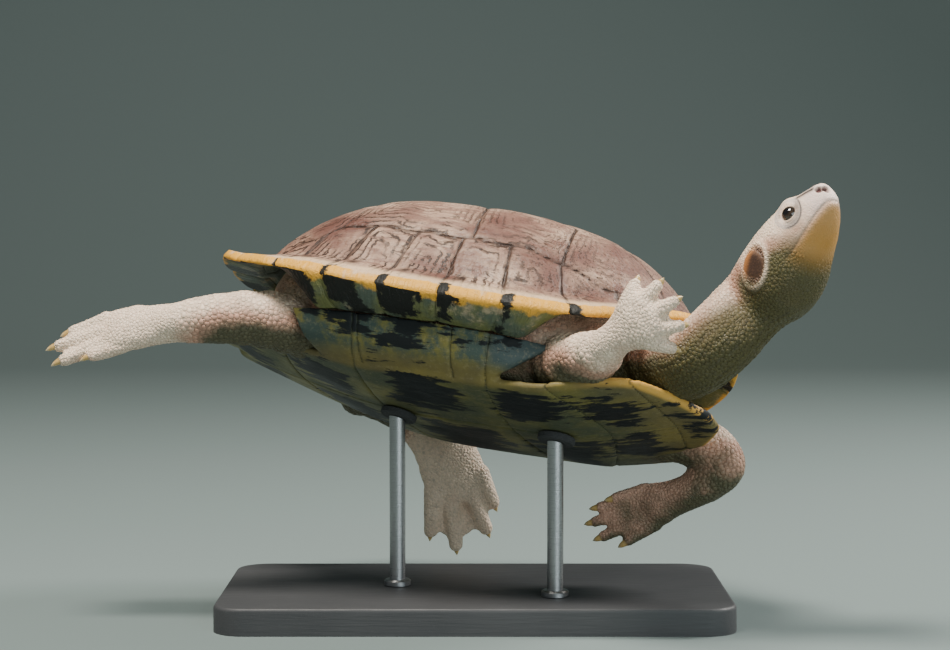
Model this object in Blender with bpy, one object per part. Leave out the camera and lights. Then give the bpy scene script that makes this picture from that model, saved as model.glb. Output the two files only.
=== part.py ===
"""A life-size pond turtle, modelled as it swims, held over the floor by a plain display stand.

The turtle is built in its own frame, in millimetres: x runs from tail to head, y to its left and
z up through its back, with the origin in the middle of the shell at the height of the rim.  An
empty named turtle_pose banks it as it swims.  The stand is built in the world frame, whose
origin is the middle of the underside of the base.
"""

import math

import bmesh
import bpy
import numpy as np
from mathutils import Matrix, Vector

MM = 0.001
GAP = 0.3
CLEARANCE = 0.45

# How the turtle swims: the heading turns to its right, the head dips and the right side lifts.
SWIM_YAW = -22.3
SWIM_PITCH = 5.4
SWIM_ROLL = -22.8
SHELL_HEIGHT = 100.0

# Shell, in millimetres.
SHELL_LENGTH = 200.0
HALF_LENGTH = SHELL_LENGTH / 2
HALF_WIDTH = 0.355 * SHELL_LENGTH
OUTLINE_POWER_FRONT = 2.25
OUTLINE_POWER_REAR = 2.6
WIDER_BEHIND = 0.10
DOME_HEIGHT = 49.4
DOME_POWER = 3.0
DOME_FULLNESS = 0.80
DOME_FOOT_SIDE = 0.90
DOME_FOOT_FRONT = 0.875
DOME_FOOT_REAR = 0.845
RIM_SAG = 2.0
RIM_LIFT = 12.0
RIM_FLARE_REAR = 4.0
RIM_FLARE_FRONT = 4.0
RIM_LOWEST_X = 15.0
FAR_RIM_DROOP = 7.5
MARGINALS = 12
NUCHAL_WIDTH = 9.0
NOTCH_DEPTH = 0.016
NOTCHES_BEHIND_X = -25.0
SHELL_WALL = 4.5
INNER_SHARES = (0.72, 0.55, 0.35, 0.15)
TRUNK_FRONT = 0.06
TRUNK_REAR = 0.03
BRIDGE_LIP_Z = -10.0
BRIDGE_LIP_RHO = 0.86
BRIDGE_REAR_X = -52.0
BRIDGE_FRONT_X = 52.0
BRIDGE_FADE = 9.0
BRIDGE_THICKNESS = 3.4
BRIDGE_LOW_X = (-38.0, 22.0)
BRIDGE_HIGH_X = (-50.0, 50.0)

# Plastron, in millimetres.
PLASTRON_Z = -27.0
PLASTRON_THICKNESS = 4.0
PLASTRON_SAG = 2.0
PLASTRON_FRONT_X = 98.5
PLASTRON_REAR_X = -101.0
ANAL_NOTCH = 7.0
PLASTRON_HALF_WIDTHS = (
    (-101.0, 11.5), (-96.0, 16.0), (-90.0, 20.5), (-78.0, 28.5), (-62.0, 38.0), (-42.0, 44.5),
    (-10.0, 47.5), (25.0, 47.5), (45.0, 48.0), (62.0, 48.5), (70.0, 48.0), (75.0, 46.5), (80.0, 42.5),
    (87.0, 30.5), (93.0, 18.5), (98.5, 6.0),
)
PLASTRON_RISES = (
    (-101.0, 14.5), (-85.0, 11.5), (-70.0, 8.6), (-52.0, 5.0), (-35.0, 2.2), (-15.0, 0.4), (40.0, 0.0),
    (52.0, 1.5), (62.0, 3.6), (70.0, 5.5), (76.0, 6.9), (82.0, 8.0), (88.0, 8.8), (98.5, 9.0),
)

# Head, in its own frame: x towards the snout, y to its left, z up, from the neck joint.
HEAD_ORIGIN = (113.8, -32.3, 24.5)
HEAD_YAW = -46.8
HEAD_PITCH = 37.8
HEAD_ROLL = 26.5
HEAD_STATIONS = (
    # x, half width, top, bottom
    (0.0, 13.2, 11.6, -17.0), (9.0, 14.5, 12.1, -18.6), (18.0, 14.2, 12.2, -16.4), (26.0, 12.4, 11.7, -12.8),
    (33.0, 10.3, 10.2, -10.2), (39.5, 7.6, 8.0, -7.8), (44.5, 4.9, 6.2, -4.6), (46.4, 3.1, 5.2, -1.6),
)
SNOUT_TIP = (47.4, -1.2, 3.2)
SNOUT_SWING = -1.2
EYE_CENTRE = (33.2, 7.7, 3.1)
EYE_RADIUS = 3.2
EAR_CENTRE = (13.0, 13.4, -1.0)
EAR_RADII = (5.4, 1.8, 5.4)
MOUTH_LINE = ((60.0, -2.2), (45.0, -2.9), (38.0, -4.6), (25.0, -7.8))

SKIN_COLOUR = (0.42, 0.36, 0.29)
HORN_COLOUR = (0.62, 0.42, 0.20)
STAND_COLOUR = (0.045, 0.045, 0.05)

# Limb stations: x, y, z, half width, half height, in millimetres in the turtle's frame.
NECK = (
    (50.0, -3.0, -6.0, 17.0, 11.5), (66.0, -11.0, -6.0, 16.6, 11.2), (80.0, -20.0, -4.8, 15.8, 10.6),
    (90.5, -27.5, -3.8, 14.6, 11.2), (98.5, -32.0, 0.0, 13.6, 12.2), (105.5, -34.0, 7.8, 13.2, 13.0),
    (111.0, -33.6, 16.5, 13.0, 13.3),
)
NECK_IN_HEAD = ((0.0, -1.6, 12.9, 13.0), (6.5, -1.2, 10.5, 10.5))
RIGHT_FORELEG = (
    (38.0, -22.0, -11.0, 14.0, 11.5), (52.0, -38.0, -12.5, 12.5, 10.5), (62.0, -48.5, -13.0, 10.5, 9.0),
    (69.5, -56.5, -12.0, 8.4, 7.4), (75.4, -62.7, -8.9, 6.8, 5.8),
)
LEFT_FORELEG = (
    (38.0, 22.0, -11.0, 14.0, 11.5), (58.0, 33.0, -12.5, 12.0, 10.0), (78.0, 36.5, -13.5, 10.0, 9.0),
    (88.5, 36.5, -16.5, 9.2, 8.8), (93.2, 38.5, -21.6, 8.4, 8.2), (87.6, 42.0, -27.4, 7.8, 8.0),
    (79.0, 45.0, -33.5, 7.2, 8.6),
)
RIGHT_HIND_LEG = (
    (-38.0, -24.0, -9.0, 17.0, 12.0), (-54.0, -38.0, -11.0, 15.0, 11.5), (-68.0, -49.5, -14.0, 12.5, 10.2),
    (-80.0, -56.0, -18.0, 10.5, 9.0), (-90.0, -59.3, -21.5, 9.2, 7.8), (-98.0, -61.0, -24.0, 9.0, 7.0),
)
LEFT_HIND_LEG = (
    (-44.0, 26.0, -8.0, 16.0, 11.0), (-58.0, 42.0, -9.0, 12.0, 9.8), (-67.0, 53.0, -8.5, 9.5, 8.0),
    (-63.0, 62.0, -8.5, 8.0, 7.6), (-54.0, 67.0, -10.5, 8.0, 7.4), (-45.0, 70.5, -13.6, 10.0, 7.4),
    (-36.3, 75.6, -19.0, 12.5, 7.4),
)
TAIL = (
    (-72.0, 3.0, -7.0, 9.0, 8.0), (-85.0, 8.0, -6.0, 6.5, 6.0), (-93.0, 15.5, -4.5, 4.8, 4.6),
    (-95.5, 25.0, -3.2, 3.4, 3.3), (-92.0, 35.0, -2.4, 2.2, 2.1), (-87.0, 41.0, -2.0, 1.2, 1.1),
)


class Foot:
    """A webbed foot: the ankle, the palm, the tips of its toes and which of them have claws."""

    def __init__(self, ankle, palm, tips, clawed, palm_size, toe_radius, claw_length, web_reach):
        self.ankle = np.array(ankle)
        self.palm = np.array(palm)
        self.tips = [np.array(tip) for tip in tips]
        self.clawed = clawed
        self.palm_size = palm_size
        self.toe_radius = toe_radius
        self.claw_length = claw_length
        self.web_reach = web_reach

    def normal(self):
        """The direction that the sole's plane faces."""
        across = self.tips[-1] - self.tips[0]
        along = self.palm - self.ankle
        return unit(np.cross(along, across))

    def toe_root(self, index):
        """Where a toe leaves the palm, spread across it."""
        share = index / (len(self.tips) - 1) - 0.5
        across = unit(self.tips[-1] - self.tips[0])
        return self.palm + across * share * 1.5 * self.palm_size


FEET = {
    "foreleg_right": Foot(
        (75.4, -62.7, -8.9), (83.6, -67.3, -3.6),
        (
            (80.5, -69.2, 9.4), (88.6, -70.2, 9.2), (94.8, -68.0, 5.0), (97.4, -64.0, -2.0),
            (95.2, -60.4, -9.0),
        ),
        (0, 1, 2, 3, 4), 9.6, 2.6, 3.8, 0.62,
    ),
    "foreleg_left": Foot(
        (79.0, 45.0, -33.0), (67.5, 46.2, -39.0),
        (
            (53.5, 41.0, -39.5), (48.0, 42.5, -43.5), (46.6, 44.4, -49.0), (50.6, 46.0, -53.8),
            (60.0, 47.5, -54.0),
        ),
        (0, 1, 2, 3, 4), 8.4, 2.5, 4.4, 0.6,
    ),
    "hind_leg_right": Foot(
        (-98.0, -61.0, -24.0), (-113.0, -64.0, -29.3),
        ((-130.5, -66.4, -33.0), (-133.6, -68.2, -39.6), (-130.0, -67.9, -44.6), (-119.5, -66.5, -41.0)),
        (0, 1, 2, 3), 8.6, 2.9, 5.2, 0.8,
    ),
    "hind_leg_left": Foot(
        (-36.3, 75.6, -19.0), (-29.0, 83.2, -32.2),
        ((-15.4, 94.3, -36.4), (-17.0, 97.5, -47.0), (-27.5, 95.5, -56.2), (-36.9, 88.2, -53.6)),
        (0, 1, 2, 3), 13.2, 3.9, 4.6, 0.85,
    ),
}

FOOT_TRIANGLES = 180

# Each leg with the hint that turns its oval section upright.
LIMBS = (
    ("foreleg_right", RIGHT_FORELEG, (0, 0, 1)),
    ("foreleg_left", LEFT_FORELEG, (0, 1, 0.3)),
    ("hind_leg_right", RIGHT_HIND_LEG, (0, -0.3, 1)),
    ("hind_leg_left", LEFT_HIND_LEG, (-0.37, 0.89, 0.28)),
)

# Stand, in millimetres in the world frame.
BASE_LENGTH = 190.0
BASE_WIDTH = 104.0
BASE_THICKNESS = 10.0
BASE_CORNER = 12.0
BASE_EDGE = 1.5
ROD_RADIUS = 3.0
PAD_RADIUS = 7.0
PAD_THICKNESS = 2.5
ROD_STATIONS = {"front": 40.0, "rear": -24.0}


def unit(vector):
    """The vector at length one."""
    return np.asarray(vector, float) / np.linalg.norm(vector)


def smooth_step(value, low, high):
    """0 below low, 1 above high, and a smooth rise between."""
    share = np.clip((value - low) / (high - low), 0.0, 1.0)
    return share * share * (3 - 2 * share)


def soft_max(first, second, blend):
    """The larger of the two, with the corner between them rounded."""
    return 0.5 * (first + second + math.sqrt((first - second) ** 2 + blend**2))


def smooth_stations(stations, per_span):
    """Catmull-Rom through rows of numbers, which gives per_span rows for each span."""
    rows = np.array(stations, float)
    padded = np.vstack([2 * rows[0] - rows[1], rows, 2 * rows[-1] - rows[-2]])
    result = []
    for span in range(len(rows) - 1):
        before, start, end, after = padded[span : span + 4]
        for step in range(per_span):
            t = step / per_span
            result.append(
                0.5 * (
                    2 * start + (end - before) * t
                    + (2 * before - 5 * start + 4 * end - after) * t**2
                    + (3 * start - before - 3 * end + after) * t**3
                )
            )
    result.append(rows[-1])
    return np.array(result)


def make_material(name, colour, roughness, metallic=0.0):
    """A Principled BSDF with one colour."""
    material = bpy.data.materials.new(name)
    material.use_nodes = True
    shader = material.node_tree.nodes["Principled BSDF"]
    shader.inputs["Base Color"].default_value = (*colour, 1.0)
    shader.inputs["Roughness"].default_value = roughness
    shader.inputs["Metallic"].default_value = metallic
    return material


def add_mesh(name, points, faces, material=None, parent=None, smooth=True):
    """An object from points in millimetres, with its faces turned outwards."""
    mesh = bpy.data.meshes.new(name)
    mesh.from_pydata([tuple(np.array(point) * MM) for point in points], [], faces)
    builder = bmesh.new()
    builder.from_mesh(mesh)
    bmesh.ops.recalc_face_normals(builder, faces=builder.faces)
    bmesh.ops.triangulate(builder, faces=builder.faces)
    builder.to_mesh(mesh)
    builder.free()
    if smooth:
        mesh.shade_smooth()
    obj = bpy.data.objects.new(name, mesh)
    bpy.context.scene.collection.objects.link(obj)
    if material:
        mesh.materials.append(material)
    if parent:
        obj.parent = parent
    return obj


def rings_to_mesh(rings, first_pole, last_pole):
    """Points and faces of a closed skin through rings of equal count, ended by a point at each end."""
    sides = len(rings[0])
    points = [point for ring in rings for point in ring]
    faces = []
    for ring in range(len(rings) - 1):
        for side in range(sides):
            after = (side + 1) % sides
            low, high = ring * sides, (ring + 1) * sides
            faces.append((low + side, low + after, high + after, high + side))
    points += [first_pole, last_pole]
    last = (len(rings) - 1) * sides
    for side in range(sides):
        after = (side + 1) % sides
        faces.append((len(points) - 2, after, side))
        faces.append((len(points) - 1, last + side, last + after))
    return points, faces


def tube_frames(centres, up, end_axis=None, turn_rings=8):
    """A tangent, side and upright direction at each point, which don't twist along the path.

    The last point's upright leans to up, and the last few rings turn to face end_axis."""
    tangents = [unit(tangent) for tangent in np.gradient(centres, axis=0)]
    if end_axis is not None:
        last = len(tangents) - 3
        for index, tangent in enumerate(tangents):
            share = smooth_step(index, last - turn_rings, last)
            tangents[index] = unit(tangent + (end_axis - tangent) * share)
    side = unit(np.cross(up, tangents[-1]))
    frames = []
    for tangent in reversed(tangents):
        side = unit(side - tangent * np.dot(side, tangent))
        frames.append((tangent, side, np.cross(tangent, side)))
    return frames[::-1]


def tube(name, stations, sides, per_span, material, parent, up=(0, 0, 1), round_end=0, end_axis=None):
    """A closed tube of oval section through its stations; round_end adds rings for a domed end."""
    rows = smooth_stations(stations, per_span)
    centres = rows[:, :3]
    frames = tube_frames(centres, np.array(up, float), end_axis)
    angles = [2 * math.pi * side / sides for side in range(sides)]
    rings = []
    for row, (_, side, upright) in zip(rows, frames):
        rings.append(
            [row[:3] + side * row[3] * math.cos(a) + upright * row[4] * math.sin(a) for a in angles]
        )
    end_pole = centres[-1]
    if round_end:
        tangent, side, upright = frames[-1]
        reach = min(rows[-1][3:5])
        for step in range(1, round_end + 1):
            turn = step / (round_end + 1) * math.pi / 2
            middle = centres[-1] + tangent * reach * math.sin(turn)
            scale = math.cos(turn)
            rings.append([
                middle + (side * rows[-1][3] * math.cos(a) + upright * rows[-1][4] * math.sin(a)) * scale
                for a in angles
            ])
        end_pole = centres[-1] + tangent * reach
    points, faces = rings_to_mesh(rings, centres[0], end_pole)
    return add_mesh(name, points, faces, material, parent)


def ellipsoid(name, centre, radii, axes, segments, rings, material, parent):
    """A closed ellipsoid whose radii lie along the three axes given."""
    centre = np.array(centre)
    axes = np.array(axes)
    loops = []
    for ring in range(1, rings):
        polar = math.pi * ring / rings
        loops.append([
            centre + (np.array([
                math.sin(polar) * math.cos(2 * math.pi * s / segments),
                math.sin(polar) * math.sin(2 * math.pi * s / segments),
                math.cos(polar),
            ]) * radii) @ axes
            for s in range(segments)
        ])
    pole = axes[2] * radii[2]
    points, faces = rings_to_mesh(loops, centre + pole, centre - pole)
    return add_mesh(name, points, faces, material, parent)


def evaluated_mesh(obj):
    """A copy of the object's mesh with its modifiers applied."""
    graph = bpy.context.evaluated_depsgraph_get()
    return bpy.data.meshes.new_from_object(obj.evaluated_get(graph))


def apply_modifiers(obj):
    """Makes what the modifiers give the object's own mesh."""
    mesh = evaluated_mesh(obj)
    obj.modifiers.clear()
    obj.data = mesh


def discard(obj):
    """Removes a helper that is no longer needed."""
    bpy.data.objects.remove(obj, do_unlink=True)


def make_cutter(obj, pose):
    """A hidden copy of a plain piece, swollen by the clearance that its neighbours keep."""
    cutter = obj.copy()
    cutter.data = obj.data.copy()
    cutter.parent = pose
    cutter.hide_render = True
    bpy.context.scene.collection.objects.link(cutter)
    builder = bmesh.new()
    builder.from_mesh(cutter.data)
    builder.normal_update()
    moves = [vertex.normal * min(vertex.calc_shell_factor(), 1.6) for vertex in builder.verts]
    for vertex, move in zip(builder.verts, moves):
        vertex.co += move * CLEARANCE * MM
    builder.to_mesh(cutter.data)
    builder.free()
    return cutter


def keep_largest_piece(obj):
    """Removes the loose slivers that a cut leaves beside the main body."""
    builder = bmesh.new()
    builder.from_mesh(obj.data)
    left = set(builder.verts)
    pieces = []
    while left:
        piece = []
        front = [left.pop()]
        while front:
            vertex = front.pop()
            piece.append(vertex)
            for edge in vertex.link_edges:
                other = edge.other_vert(vertex)
                if other in left:
                    left.remove(other)
                    front.append(other)
        pieces.append(piece)
    pieces.sort(key=spread, reverse=True)
    spare = [vertex for piece in pieces[1:] for vertex in piece]
    bmesh.ops.delete(builder, geom=spare, context="VERTS")
    bmesh.ops.triangulate(builder, faces=builder.faces)
    builder.to_mesh(obj.data)
    builder.free()


def spread(vertices):
    """The diagonal of the box round some vertices."""
    places = np.array([vertex.co for vertex in vertices])
    return float(np.linalg.norm(places.max(axis=0) - places.min(axis=0)))


def boolean(obj, other, operation):
    """Joins another object to this one, or cuts it away."""
    modifier = obj.modifiers.new("boolean", "BOOLEAN")
    modifier.operation = operation
    modifier.solver = "MANIFOLD"
    modifier.object = other
    apply_modifiers(obj)


def carve(obj, cutters):
    """Cuts each of the cutters out of the object."""
    for cutter in cutters:
        boolean(obj, cutter, "DIFFERENCE")
    keep_largest_piece(obj)


def outline_power(x):
    """The plan outline is rounder in front and squarer behind."""
    return OUTLINE_POWER_REAR + (OUTLINE_POWER_FRONT - OUTLINE_POWER_REAR) * smooth_step(x, -60.0, 60.0)


def outline_half_width(x):
    """Half the width of the plan outline at a station."""
    share = min(abs(x) / HALF_LENGTH, 1.0)
    power = outline_power(x)
    return HALF_WIDTH * (1 - share**power) ** (1 / power) * (1 - WIDER_BEHIND * x / HALF_LENGTH)


def outline_point(turn):
    """A point of the shell's plan outline, from turn 0 at the nose end round to 1."""
    x = HALF_LENGTH * math.cos(2 * math.pi * turn)
    y = outline_half_width(x)
    return np.array([x, y if turn <= 0.5 else -y])


def rim_points():
    """Two plan points for each scute of the rim: the seam before it and its middle."""
    fine = [outline_point(step / 2880) for step in range(2881)]
    lengths = np.concatenate([[0.0], np.cumsum(np.linalg.norm(np.diff(fine, axis=0), axis=1))])
    half = lengths[-1] / 2
    scute = (half - NUCHAL_WIDTH / 2) / MARGINALS
    stations = [NUCHAL_WIDTH / 2 + scute * step / 2 for step in range(2 * MARGINALS + 1)]
    stations = [0.0] + stations + [2 * half - s for s in reversed(stations[:-1])]
    fine = np.array(fine)
    places = []
    for index, station in enumerate(stations):
        point = np.array([np.interp(station, lengths, fine[:, axis]) for axis in (0, 1)])
        seam = index % 2 == 1
        if seam and point[0] < NOTCHES_BEHIND_X:
            point = point * (1 - NOTCH_DEPTH)
        places.append(point)
    return places


def rim_height(x):
    """The rim is lowest over the bridge and lifts towards the neck and the tail."""
    reach = HALF_LENGTH - RIM_LOWEST_X if x > RIM_LOWEST_X else HALF_LENGTH + RIM_LOWEST_X
    flare = RIM_FLARE_REAR * smooth_step(-x, 72, 100) + RIM_FLARE_FRONT * smooth_step(x, 56, 92)
    return RIM_LIFT * abs((x - RIM_LOWEST_X) / reach) ** 2.2 - RIM_SAG + flare


def rim_level(rim):
    """The height of a rim point; the left front droops a little below the right."""
    droop = FAR_RIM_DROOP * smooth_step(rim[0], 52.0, 84.0) * smooth_step(rim[1], 4.0, 30.0)
    return rim_height(rim[0]) - droop


def end_weights(rim):
    """How much a rim point belongs to the front and to the rear end of the shell."""
    share = rim[0] / HALF_LENGTH
    return smooth_step(share, 0.35, 0.95), smooth_step(-share, 0.35, 0.95)


def carapace_top(rim, rho):
    """Height of the outer surface at a share rho of the way from the middle to a rim point."""
    front, rear = end_weights(rim)
    foot = DOME_FOOT_SIDE + (DOME_FOOT_FRONT - DOME_FOOT_SIDE) * front
    foot += (DOME_FOOT_REAR - DOME_FOOT_SIDE) * rear
    flange = 6.5 - 0.5 * rear
    inside = max(0.0, 1 - (rho / foot) ** DOME_POWER)
    dome = DOME_HEIGHT * inside**DOME_FULLNESS
    slope = min(flange, flange * (1 - rho) / (1 - foot))
    return rim_level(rim) * rho**3 + soft_max(dome, slope, 3.0 * smooth_step(rho, 0.3, 0.8)) + 0.8


def bridge_weight(rim):
    """1 where the bridge carries the rim, 0 where the rim is free."""
    rise = smooth_step(rim[0], BRIDGE_REAR_X - BRIDGE_FADE, BRIDGE_REAR_X + BRIDGE_FADE)
    return rise * (1 - smooth_step(rim[0], BRIDGE_FRONT_X - BRIDGE_FADE, BRIDGE_FRONT_X + BRIDGE_FADE))


def carapace_profile(rim):
    """The closed half section from the middle of the back, round the rim, to the middle inside."""
    bridge = bridge_weight(rim)
    edge = rim_level(rim)
    outer = [(rho, carapace_top(rim, rho)) for rho in (0.2, 0.4, 0.58, 0.73, 0.85, 0.93)]
    lip = BRIDGE_LIP_RHO
    free_lip = carapace_top(rim, lip) - 3.6
    lip_z = bridge * BRIDGE_LIP_Z + (1 - bridge) * free_lip
    inner_z = bridge * (BRIDGE_LIP_Z + 1.0) + (1 - bridge) * (carapace_top(rim, lip - 0.05) - 4.0)
    under = [
        (0.995, edge + 0.8), (0.995, edge - 1.2),
        (0.93, 0.5 * (edge - 1.6 + lip_z) - 0.5 * bridge), (lip, lip_z), (lip - 0.05, inner_z),
    ]
    inner = [(rho, carapace_top(rim, rho) - SHELL_WALL) for rho in INNER_SHARES]
    return outer + under + inner


def build_carapace(material, parent):
    """The upper shell, with free rims front and rear and a lip along each bridge."""
    rims = rim_points()
    profiles = [carapace_profile(rim) for rim in rims]
    rings = []
    for ring in range(len(profiles[0])):
        rings.append([
            (rim[0] * profile[ring][0], rim[1] * profile[ring][0], profile[ring][1])
            for rim, profile in zip(rims, profiles)
        ])
    top = (0.0, 0.0, DOME_HEIGHT + 0.8)
    inside = (0.0, 0.0, DOME_HEIGHT + 0.8 - SHELL_WALL)
    points, faces = rings_to_mesh(rings, top, inside)
    return add_mesh("carapace", points, faces, material, parent)


def plastron_rise(x):
    """How far the plastron lifts at a station, towards its two ends."""
    return np.interp(x, *zip(*PLASTRON_RISES))


def plastron_surface(x, across):
    """A point of the plastron's outer surface; across runs from -1 to 1 over its width."""
    half_width = np.interp(x, *zip(*PLASTRON_HALF_WIDTHS))
    z = PLASTRON_Z + plastron_rise(x) - PLASTRON_SAG * (1 - across**2) * smooth_step(100 - abs(x), 0, 30)
    if x < PLASTRON_REAR_X + 2:
        x += ANAL_NOTCH * max(0.0, 1 - abs(across) / 0.45)
    return np.array([x, half_width * across, z])


def build_plastron_plate():
    """The lower shell's flat plate with its front and rear lobes."""
    stations = np.concatenate([
        [PLASTRON_REAR_X, PLASTRON_REAR_X + 4.5], np.linspace(-89, -45, 6), np.linspace(-32, 34, 4),
        [48.0, 60.0, 69.0, 75.0, 80.0, 87.0, 93.0, PLASTRON_FRONT_X],
    ])
    columns = [-1.0, -0.9, -0.45, 0.0, 0.45, 0.9, 1.0]
    count = len(columns)
    points = []
    for x in stations:
        points += [plastron_surface(x, c) for c in columns]
    bottom_count = len(points)
    for x in stations:
        for c in columns:
            point = plastron_surface(x, c)
            edge = 1.2 if abs(c) == 1.0 or x in (stations[0], stations[-1]) else 0.0
            points.append(point + np.array([0, 0, PLASTRON_THICKNESS - edge]))
    faces = []
    for row in range(len(stations) - 1):
        for column in range(count - 1):
            a = row * count + column
            faces.append((a, a + 1, a + count + 1, a + count))
            b = a + bottom_count
            faces.append((b, b + count, b + count + 1, b + 1))
    for row in range(len(stations) - 1):
        for a in (row * count, row * count + count - 1):
            faces.append((a, a + count, a + count + bottom_count, a + bottom_count))
    last_row = (len(stations) - 1) * count
    for column in range(count - 1):
        for a in (column, last_row + column):
            faces.append((a, a + 1, a + 1 + bottom_count, a + bottom_count))
    return add_mesh("plastron", points, faces)


def bridge_point(side, along, rise):
    """A point of the bridge's outer face, from the plastron's edge (rise 0) to the rim's lip (1)."""
    low_x = BRIDGE_LOW_X[0] + (BRIDGE_LOW_X[1] - BRIDGE_LOW_X[0]) * along
    high_x = BRIDGE_HIGH_X[0] + (BRIDGE_HIGH_X[1] - BRIDGE_HIGH_X[0]) * along
    x = low_x + (high_x - low_x) * rise
    top_y = BRIDGE_LIP_RHO * outline_half_width(x / BRIDGE_LIP_RHO)
    low_y = np.interp(low_x, *zip(*PLASTRON_HALF_WIDTHS)) - 3.5
    bulge = math.sin(rise * math.pi) * 2.2
    y = low_y + (top_y - low_y) * rise + bulge
    low_z = PLASTRON_Z + plastron_rise(low_x) + 1.0
    z = low_z + (BRIDGE_LIP_Z - CLEARANCE - low_z) * rise**1.15 - bulge
    return np.array([x, side * y, z])


def build_bridge(side):
    """The wall that joins the plastron to the rim on one side."""
    alongs = np.linspace(0, 1, 9)
    rises = np.array([0.0, 0.3, 0.65, 1.0])
    count = len(rises)
    outer = np.array([[bridge_point(side, a, r) for r in rises] for a in alongs])
    forward = np.gradient(outer, axis=0)
    upward = np.gradient(outer, axis=1)
    inward = np.cross(forward, upward)
    inward /= np.linalg.norm(inward, axis=2, keepdims=True)
    inward *= -side * np.sign(inward[:, :, 1:2])
    inner = outer + inward * BRIDGE_THICKNESS
    inner[:, -1] = outer[:, -1] + np.array([0.0, -side * BRIDGE_THICKNESS * 1.2, 0.0])
    points = [*outer.reshape(-1, 3), *inner.reshape(-1, 3)]
    shift = len(alongs) * count
    faces = []
    for row in range(len(alongs) - 1):
        for column in range(count - 1):
            a = row * count + column
            faces.append((a, a + 1, a + count + 1, a + count))
            faces.append((a + shift, a + count + shift, a + count + 1 + shift, a + 1 + shift))
        for a in (row * count, row * count + count - 1):
            faces.append((a, a + count, a + count + shift, a + shift))
    last = (len(alongs) - 1) * count
    for column in range(count - 1):
        for a in (column, last + column):
            faces.append((a, a + 1, a + 1 + shift, a + shift))
    return add_mesh("bridge", points, faces)


def build_plastron(material, parent):
    """The lower shell as one solid, with cutters in the shape of its plate and its two bridges."""
    plate = build_plastron_plate()
    cutters = [make_cutter(plate, parent)]
    for side in (-1, 1):
        bridge = build_bridge(side)
        cutters.append(make_cutter(bridge, parent))
        boolean(plate, bridge, "UNION")
        discard(bridge)
    keep_largest_piece(plate)
    plate.data.materials.clear()
    plate.data.materials.append(material)
    plate.parent = parent
    return cutters


def build_trunk(material, parent):
    """The soft body inside the shell, whose skin shows in the openings for the limbs."""
    rims = rim_points()[::2]
    shares = []
    for rim in rims:
        front, rear = end_weights(rim)
        shares.append(0.75 + TRUNK_FRONT * front + TRUNK_REAR * rear)
    rings = []
    for rho in INNER_SHARES[::-1]:
        rings.append([(rim[0] * rho, rim[1] * rho, carapace_top(rim, rho) - SHELL_WALL - 2.0) for rim in rims])
    for scale, drop in ((0.96, 0.15), (1.0, 0.5), (0.95, 0.85)):
        ring = []
        for rim, share in zip(rims, shares):
            rho = share * scale
            high = carapace_top(rim, rho) - SHELL_WALL - 2.0
            low = trunk_floor(rim[0] * rho)
            ring.append((rim[0] * rho, rim[1] * rho, high + (low - high) * drop))
        rings.append(ring)
    for rho in (0.5,):
        rings.append([(rim[0] * rho, rim[1] * rho, trunk_floor(rim[0] * rho)) for rim in rims])
    top = (0, 0, DOME_HEIGHT - SHELL_WALL - 1.2)
    points, faces = rings_to_mesh(rings, top, (0, 0, trunk_floor(0.0)))
    return add_mesh("trunk", points, faces, material, parent)


def trunk_floor(x):
    """The height of the soft body's underside, just over the plastron."""
    return PLASTRON_Z + PLASTRON_THICKNESS + 1.0 + plastron_rise(x)


def head_axes():
    """The head's own axes in the turtle's frame, as rows: forward, left and up."""
    yaw, pitch, roll = (math.radians(angle) for angle in (HEAD_YAW, HEAD_PITCH, HEAD_ROLL))
    forward = np.array([math.cos(pitch) * math.cos(yaw), math.cos(pitch) * math.sin(yaw), math.sin(pitch)])
    level = np.array([-math.sin(yaw), math.cos(yaw), 0.0])
    upright = np.cross(forward, level)
    left = level * math.cos(roll) + upright * math.sin(roll)
    return np.array([forward, left, np.cross(forward, left)])


def from_head(point):
    """A point of the head's frame in the turtle's frame."""
    return np.array(HEAD_ORIGIN) + np.array(point) @ head_axes()


def head_ring(row, sides):
    """One section of the head, fuller at the cheeks than an ellipse."""
    x, half_width, top, bottom = row
    ring = []
    for side in range(sides):
        angle = 2 * math.pi * side / sides
        across = math.copysign(abs(math.cos(angle)) ** 0.86, math.cos(angle))
        upright = math.copysign(abs(math.sin(angle)) ** 0.9, math.sin(angle))
        middle = 0.5 * (top + bottom)
        height = 0.5 * (top - bottom)
        swing = SNOUT_SWING * smooth_step(x, 31.0, 46.4)
        ring.append(from_head((x, swing + half_width * across, middle + height * upright)))
    return ring


def build_head(materials, parent):
    """The head in two nodes, parted along the mouth."""
    sides = 16
    rows = smooth_stations(HEAD_STATIONS, 2)
    rings = [head_ring(row, sides) for row in rows]
    start = from_head((rows[0][0], 0, 0))
    points, faces = rings_to_mesh(rings, start, from_head(SNOUT_TIP))
    head = add_mesh("head", points, faces, materials["skin"], parent)
    jaw = add_mesh("lower_jaw", points, faces, materials["skin"], parent)
    profile = [*MOUTH_LINE, (MOUTH_LINE[-1][0] - 4, -20), (MOUTH_LINE[0][0], -20)]
    count = len(profile)
    block_points = [from_head((x, y, z)) for y in (-30, 30) for x, z in profile]
    block_faces = [tuple(range(count)), tuple(reversed(range(count, 2 * count)))]
    block_faces += [(i, i + count, (i + 1) % count + count, (i + 1) % count) for i in range(count)]
    block = add_mesh("jaw_block", block_points, block_faces, None, parent, smooth=False)
    whole_cutter = make_cutter(head, parent)
    block_cutter = make_cutter(block, parent)
    boolean(head, block_cutter, "DIFFERENCE")
    boolean(jaw, block, "INTERSECT")
    discard(block_cutter)
    discard(block)
    keep_largest_piece(head)
    keep_largest_piece(jaw)
    return head, whole_cutter


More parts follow.
